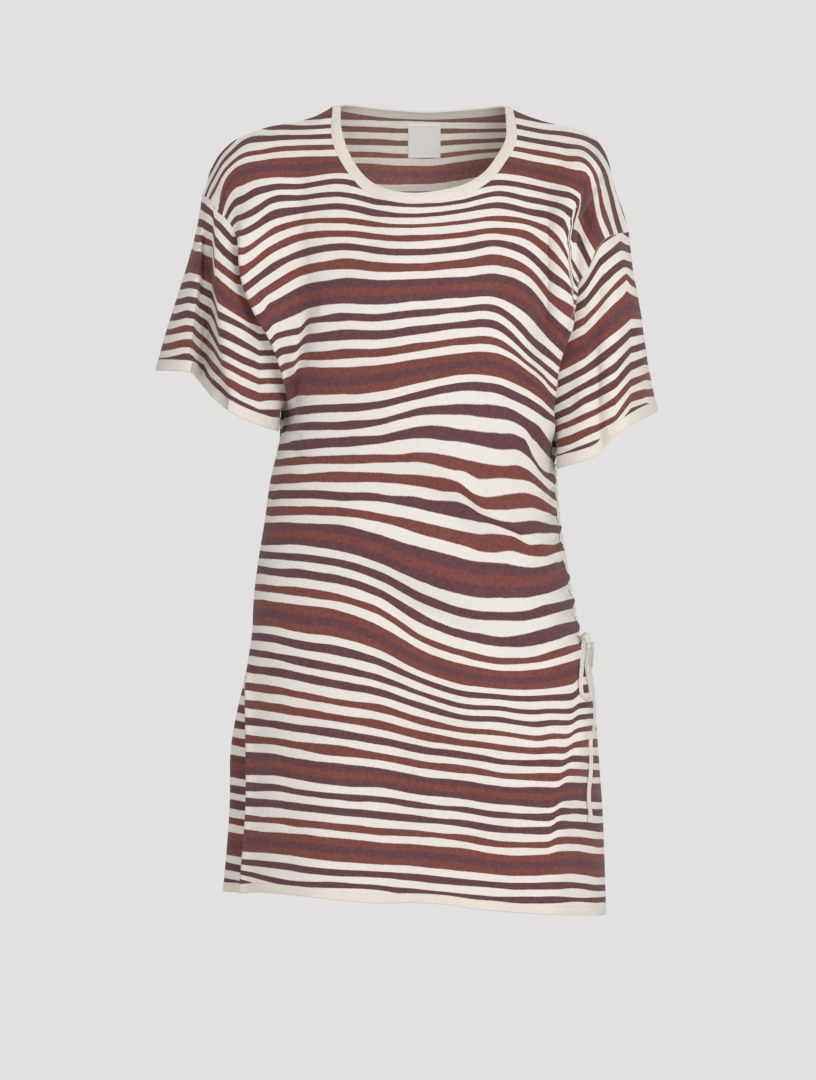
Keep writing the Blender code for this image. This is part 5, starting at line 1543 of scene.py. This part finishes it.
# %% [markdown]
# ## The panels, sleeves and bands
# On the real dress each of these is cut flat, joined edge to edge, and then bound. They could be made by a
# cloth simulation that pulls the flat cut together, but that would let go of the folds that the stripes
# have to follow. So the grids above are simply given their walls: the striped knit outside, its reverse
# inside, the same grids' edges at every seam. A band is one more wall, with a folded edge that rounds over.

# %% Panels
pieces = {}
pieces["front_panel"] = cloth("front", front, WALL, front_chart, [striped_face, striped_reverse_with_painted_light])
pieces["back_panel"] = cloth("back", back, WALL, back_chart, [striped_face, striped_reverse_with_painted_light])
print("front", len(pieces["front_panel"].data.polygons), "faces")

# %% Sleeves
for side, sheet in sleeves.items():
    pieces[f"sleeve_{side}"] = cloth(
        f"{side}_sleeve", sheet, WALL, sleeve_charts[side], [striped_face, striped_reverse_with_painted_light], around=SLEEVE_GIRTH
    )
print("sleeve", len(pieces["sleeve_left"].data.polygons), "faces")

# %% Bands
for node, name, sheet in (
    ("neckband", "neck_band", neckband),
    ("hem_band", "hem_fold", hem),
    ("cuff_right", "right_cuff", cuffs["right"]),
    ("cuff_left", "left_cuff", cuffs["left"]),
):
    chart, girth = band_chart(sheet)
    pieces[node] = cloth(name, sheet, BAND_THICKNESS, chart, [cream_face], around=girth, free_end=True)
print("bands", ", ".join(obj.name for obj in pieces.values() if "jersey" in obj.data.materials[0].name))

# %% [markdown]
# ## The casing over the gathers
# A narrow tube of plain jersey covers the gathered side seam, and the drawcord runs inside it. Where the
# seam is drawn up the tube crinkles, more finely than the body does. A sweep along a smooth curve would
# float over the gathers, so the casing's section is laid on the two panels row by row, and its height rises
# and falls with them.

# %% Casing
CHANNEL_HALF = 6.5
CHANNEL_TOP, CHANNEL_END = -390.0, -581.0
CHANNEL_LIFT = 0.65
CHANNEL_SECTION = [(1, 0.9), (0.94, 1.25), (0.8, 1.2), (0.6, 1.6), (0.4, 2.05), (0.2, 2.4), (0, 2.5),
                   (-0.2, 2.4), (-0.4, 2.05), (-0.6, 1.6), (-0.8, 1.2), (-0.94, 1.25), (-1, 0.9)]
CASING_ROWS, CASING_COLUMNS = 150, 14
CRINKLES = [(0.22, 2.3, 2, 0), (0.12, 5.1, 1, 1)]  # height, waves to a gather, how they shift across, start


def casing():
    """A tape over the seam, thickest over the cord inside it, and crinkled by the gathers."""
    level = front.grid[:, -1, 2]
    rows = np.where((level < CHANNEL_TOP + 2) & (level > CHANNEL_END - 2))[0]
    heights = np.linspace(level[rows[0]], level[rows[-1]], CASING_ROWS)
    turn = gather_turn(heights)
    lines, widths = [], []
    for place, thick in CHANNEL_SECTION:
        sheet = front if place >= 0 else back
        found = []
        for row in rows:
            near = sheet.grid[row, ::-1][:CASING_COLUMNS]
            out = sheet.normals[row, ::-1][:CASING_COLUMNS]
            run = run_along(near)
            at = abs(place) * CHANNEL_HALF
            found.append([np.interp(at, run, v) for v in np.hstack([near, out]).T])
        found = np.array(found)
        fine = np.column_stack([np.interp(-heights, -level[rows], v) for v in found.T])
        middle, out = fine[:, :3], unit(fine[:, 3:])
        crinkle = 1 + sum(
            rise * np.sin(turn * waves + shift * place + start) for rise, waves, shift, start in CRINKLES
        )
        base = middle + out * (WALL / 2 + CHANNEL_LIFT)
        lines.append((base, base + out * (thick * crinkle)[:, None]))
        widths.append(np.full(len(heights), place * CHANNEL_HALF))
    inner = np.stack([line[0] for line in lines], 1)
    outer = np.stack([line[1] for line in lines], 1)
    down = np.broadcast_to(-heights[:, None], (CASING_ROWS, len(widths)))
    chart = np.stack([np.stack(widths, 1), down], -1)
    return wall("casing", Sheet((inner + outer) / 2), outer, inner, chart, [cream_face])


pieces["drawcord_channel"] = casing()
print("casing", CASING_ROWS, "rows")

# %% [markdown]
# ## Label
# A small woven patch is sewn inside the back of the neck. It is stiffer than the jersey, so it doesn't take
# up the finer folds: it is laid on a smooth surface fitted to the cloth behind it. It is bare, and its
# woven edge is a little thicker than its middle, which is what makes it read as a patch and not as a
# painted square.

# %% Label
LABEL = (-13.0, 23.0, -12.0, -48.0)  # x of its sides, z of its top and its end
LABEL_MARGIN, LABEL_TOP_MARGIN = 12, 6  # of cloth round it that its surface is fitted to
LABEL_LIFT, LABEL_WALL, LABEL_CELLS = 0.5, 0.6, 36


def label():
    """A woven patch inside the back of the neck, a little inside the panel's wall."""
    x0, x1, z0, z1 = LABEL
    flat = back.grid.reshape(-1, 3)
    beside = (flat[:, 0] > x0 - LABEL_MARGIN) & (flat[:, 0] < x1 + LABEL_MARGIN)
    near = flat[beside & (flat[:, 2] < z0 + LABEL_TOP_MARGIN) & (flat[:, 2] > z1 - LABEL_MARGIN)]

    def terms(x, z):
        x, z = x / 50, z / 50
        return np.stack([np.ones_like(x), x, z, x * x, x * z, z * z, x**3, x * x * z, x * z * z, z**3], -1)

    fit = np.linalg.lstsq(terms(near[:, 0], near[:, 2]), near[:, 1], rcond=None)[0]
    x, z = np.meshgrid(np.linspace(x0, x1, LABEL_CELLS + 1), np.linspace(z0, z1, LABEL_CELLS + 1))
    y = terms(x, z) @ fit
    grid = np.stack([x, y, z], -1)
    out = -grid_normals(grid)
    out *= np.sign(out[..., 1:2])
    edge = np.minimum.reduce([x - x0, x1 - x, z0 - z, z - z1])
    thick = LABEL_WALL * (1 + 0.5 * np.exp(-((edge - 1.2) ** 2)) - 0.45 * np.exp(-edge / 0.3))
    near_side = grid - out * (WALL / 2 + LABEL_LIFT)
    chart = np.stack([x - x0, z0 - z], -1)
    sheet = Sheet(grid)
    return wall("label_patch", sheet, near_side - out * thick[..., None], near_side, chart, [label_face])


pieces["label"] = label()
print("label", LABEL[1] - LABEL[0], "by", LABEL[2] - LABEL[3], "mm")

# %% [markdown]
# ## Cords
# The drawcord is a round cotton knit that has been pressed flat, with a shallow groove along the middle. A
# curve with a round bevel would make it a pipe, so an oval section with a dent in both flat sides is swept
# along each route, held level so that it never twists. The knot is built by itself, as turns of the same
# cord pulled tight.

# %% Cords
CORD_SIDES, CORD_POINTS = 28, 90
CORD_GROOVE, GROOVE_WIDTH = 0.34, 0.55
CORD_SQUARENESS = 0.8
CORD_TIP = 1.3  # length over which an end rounds off


def cord_mesh(name, route):
    """A flat knitted cord swept along a route, its width held level, with a groove down both flat sides."""
    ahead = unit(np.gradient(route, axis=0))
    across = unit(np.array([1.0, 0, 0]) - ahead * ahead[:, :1])
    up = np.cross(ahead, across)
    angle = np.linspace(0, 2 * math.pi, CORD_SIDES, endpoint=False)
    c, s = np.cos(angle), np.sin(angle)
    half_width = np.sign(c) * np.abs(c) ** CORD_SQUARENESS * CORD_WIDTH / 2
    half_thick = np.sign(s) * np.abs(s) ** CORD_SQUARENESS * CORD_THICKNESS / 2
    half_thick = half_thick * (1 - CORD_GROOVE * np.exp(-((half_width / GROOVE_WIDTH) ** 2)))
    run = run_along(route)
    ends = np.minimum(run, run[-1] - run)
    full = np.sqrt(np.clip(1 - (1 - np.clip(ends / CORD_TIP, 0, 1)) ** 2, 0.05, 1))
    rings = (
        route[:, None]
        + across[:, None] * (half_width * full[:, None])[..., None]
        + up[:, None] * (half_thick * full[:, None])[..., None]
    )
    points = np.concatenate([rings.reshape(-1, 3), route[:1], route[-1:]])
    n, m = len(route), CORD_SIDES
    faces, corners = [], []
    u = run_along(np.column_stack([half_width, half_thick]))
    u = np.append(u, u[-1] * m / (m - 1))
    for i in range(n - 1):
        for j in range(m):
            k = (j + 1) % m
            faces.append(((i + 1) * m + j, (i + 1) * m + k, i * m + k, i * m + j))
            corners += [(u[j], run[i + 1]), (u[j + 1], run[i + 1]), (u[j + 1], run[i]), (u[j], run[i])]
    for j in range(m):
        k = (j + 1) % m
        faces.append((j, k, n * m))
        corners += [(u[j], 0), (u[j + 1], 0), (0, 0)]
        faces.append(((n - 1) * m + k, (n - 1) * m + j, n * m + 1))
        corners += [(u[j + 1], run[-1]), (u[j], run[-1]), (0, run[-1])]
    return add_mesh(name, points, faces, corners, [cord_face])


routes = {name: along(path, np.linspace(0, 1, CORD_POINTS)) for name, path in CORDS.items()}
cord_names = {
    "cord_end_long": "long_cord_end",
    "cord_loop_front": "front_bow_loop",
    "cord_loop_back": "back_bow_loop",
    "cord_end_short": "short_cord_end",
}
for node, route in routes.items():
    pieces[node] = cord_mesh(cord_names[node], route)
    print(node, round(run_along(route)[-1]), "mm")

# %% Knot
KNOT_RINGS, KNOT_SIDES = 40, 48
KNOT_CORE, KNOT_TURNS = 0.86, 0.14  # of the knot's size, to the bottom of its grooves and from there out
KNOT_CELL = 0.4  # millimetres of knit to each of its faces


def knot_mesh():
    """The bow's knot: a cord wound twice and a half about the roots of the loops."""
    polar = np.linspace(0, math.pi, KNOT_RINGS + 1)[1:-1]
    angle = np.linspace(0, 2 * math.pi, KNOT_SIDES, endpoint=False)
    p, a = np.meshgrid(polar, angle, indexing="ij")
    groove = np.abs(np.sin(2.5 * p + 0.5 * a)) ** 0.5
    r = KNOT_CORE + KNOT_TURNS * groove
    local = np.stack([np.sin(p) * np.cos(a) * r, np.sin(p) * np.sin(a) * r, np.cos(p) * r], -1)
    points = np.array(KNOT) + local.reshape(-1, 3) * KNOT_SIZE
    tip = np.array([0, 0, KNOT_SIZE[2] * KNOT_CORE])
    points = np.concatenate([points, [np.array(KNOT) + tip, np.array(KNOT) - tip]])
    faces, corners = [], []
    n, m = KNOT_RINGS - 1, KNOT_SIDES
    for i in range(n - 1):
        for j in range(m):
            k = (j + 1) % m
            faces.append((i * m + j, (i + 1) * m + j, (i + 1) * m + k, i * m + k))
            corners += [(i, j), (i + 1, j), (i + 1, j + 1), (i, j + 1)]
    for j in range(m):
        k = (j + 1) % m
        faces.append((n * m, j, k))
        faces.append((n * m + 1, (n - 1) * m + k, (n - 1) * m + j))
        corners += [(0, j), (0, j), (0, j + 1), (n, j), (n, j + 1), (n, j)]
    return add_mesh("knot_wraps", points, faces, np.array(corners, float) * KNOT_CELL, [cord_face])


pieces["bow_knot"] = knot_mesh()
print("knot", len(pieces["bow_knot"].data.polygons), "faces")

# %% [markdown]
# ## Stitches
# A seam is held by thread, and on a cream band it is the row of stitches that shows it. They repeat along a
# line, so Geometry Nodes make them: the line is cut into equal steps, a small grain of thread is set on
# each, turned along the line and varied a little in length. A texture could only draw them, while these
# cover the joint as thread does.

# %% Thread
THREAD_CREAM = (0.870, 0.835, 0.755, 1)
thread_face, graph, shader, place, _ = cloth_shader("sewing thread", 0.8, 0.1)
dye(graph, shader, THREAD_CREAM, place, 0.10, 0.04)
twist = graph.add("ShaderNodeTexNoise", {"Vector": place, "Scale": 3200.0, "Detail": 1.0}).outputs["Fac"]
raise_relief(graph, shader, twist, 0.5, 0.0001)
print("thread", THREAD_CREAM)

# %% The stitch tree
stitch_tree = bpy.data.node_groups.new("Stitches along a seam", "GeometryNodeTree")
for label, kind, value in (
    ("Seam", "Geometry", None), ("Spacing", "Float", 0.003), ("Length", "Float", 0.0024),
    ("Thickness", "Float", 0.0006), ("Seed", "Int", 7), ("Thread", "Material", None),
):
    socket = stitch_tree.interface.new_socket(label, in_out="INPUT", socket_type=f"NodeSocket{kind}")
    if value is not None:
        socket.default_value = value
stitch_tree.interface.new_socket("Stitches", in_out="OUTPUT", socket_type="NodeSocketGeometry")
graph = Graph(stitch_tree)
given = graph.add("NodeGroupInput").outputs
run = graph.add("GeometryNodeMeshToCurve", {"Mesh": given["Seam"]}).outputs["Curve"]
cut = graph.add("GeometryNodeResampleCurve", {"Curve": run, "Length": given["Spacing"]}, mode="LENGTH")
way = graph.add("GeometryNodeInputTangent").outputs["Tangent"]
turned = graph.add("FunctionNodeAlignRotationToVector", {"Vector": way}, axis="X").outputs["Rotation"]
varied = graph.add("FunctionNodeRandomValue", {2: 0.88, 3: 1.08, 8: given["Seed"]}, data_type="FLOAT")
length = graph.math("MULTIPLY", varied.outputs[1], given["Length"])
size = graph.add("ShaderNodeCombineXYZ", {0: length, 1: given["Thickness"], 2: given["Thickness"]}).outputs[0]
grain = graph.add("GeometryNodeMeshUVSphere", {"Segments": 6, "Rings": 5, "Radius": 0.5}).outputs["Mesh"]
laid = graph.add(
    "GeometryNodeInstanceOnPoints",
    {"Points": cut.outputs["Curve"], "Instance": grain, "Rotation": turned, "Scale": size},
).outputs["Instances"]
solid = graph.add("GeometryNodeRealizeInstances", {"Geometry": laid}).outputs["Geometry"]
dressed = graph.add("GeometryNodeSetMaterial", {"Geometry": solid, "Material": given["Thread"]})
graph.join(dressed.outputs["Geometry"], graph.add("NodeGroupOutput").inputs["Stitches"])
sockets = [item for item in stitch_tree.interface.items_tree if item.in_out == "INPUT"]
stitch_inputs = {socket.name: socket.identifier for socket in sockets}
print("inputs", ", ".join(stitch_inputs))

# %% Rows of stitches


def stitch_row(name, line, spacing, length, thickness, seed):
    """Stitches along a closed line of points in millimetres, as a plain mesh."""
    ends = [(i, (i + 1) % len(line)) for i in range(len(line))]
    data = bpy.data.meshes.new(name)
    data.from_pydata((line * MILLIMETRE).tolist(), ends, [])
    guide = new_object("seam line", data)
    modifier = guide.modifiers.new("stitches", "NODES")
    modifier.node_group = stitch_tree
    for label, value in (("Spacing", spacing), ("Length", length), ("Thickness", thickness)):
        modifier[stitch_inputs[label]] = value * MILLIMETRE
    modifier[stitch_inputs["Seed"]] = seed
    modifier[stitch_inputs["Thread"]] = thread_face
    evaluated = guide.evaluated_get(bpy.context.evaluated_depsgraph_get())
    mesh = bpy.data.meshes.new_from_object(evaluated)
    guide.modifiers.remove(modifier)
    bpy.data.objects.remove(guide)
    mesh.name = name
    mesh.shade_smooth()
    return new_object(name, mesh)


def over_seam(sheet, row, lift):
    """A line lifted off one row of a sheet."""
    return sheet.grid[row] + unit(sheet.normals[row]) * lift


stitch_rows = {
    "neckband": [stitch_row("neck_stitches", over_seam(neckband, 0, 0.95), 2.4, 2.3, 0.75, 3)],
    "hem_band": [stitch_row("hem_stitches", over_seam(hem, 0, 0.95), 2.8, 2.7, 0.75, 5)],
}
for side in SIDES:
    stitch_rows[f"cuff_{side}"] = [
        stitch_row(f"{side}_cuff_stitches", over_seam(cuffs[side], 0, 0.95), 2.6, 2.5, 0.75, 11),
        stitch_row(f"{side}_armhole_stitches", over_seam(sleeves[side], 0, 0.85), 2.6, 2.5, 0.6, 13),
    ]
for made in sum(stitch_rows.values(), []):
    print(made.name, len(made.data.polygons), "faces")

# %% [markdown]
# ## Handing the pieces over
# Every piece rides on the one body, because a dress has no joints, and each stands for the plain solid of
# the same name. The stitches stand for nothing and only ride along.

# %% Handing over
SLOTS = {"front_panel": "striped_knit", "back_panel": "striped_knit", "sleeve_right": "striped_knit",
         "sleeve_left": "striped_knit", "label": "woven_label", "bow_knot": "cream_cord"}
for node, obj in pieces.items():
    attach(obj, "root")
    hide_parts(node)
    SLOTS.get(node, "cream_cord" if node.startswith("cord") else "cream_knit")
for made in sum(stitch_rows.values(), []):
    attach(made, "root")
print(len(pieces), "pieces for the packed model's solids")

# %% Sheets and cords
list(stitch_rows["neckband"])
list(stitch_rows["hem_band"])
for side in ("right", "left"):
    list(stitch_rows[f"cuff_{side}"])
for node, route in routes.items():
    np.linalg.norm(np.diff(route, axis=0), axis=1).sum() * MILLIMETRE
    "object" if "loop" in node else "bare"
print(len(routes), "lengths of cord and 4 sheets declared")

# %% Size
bpy.context.view_layer.update()
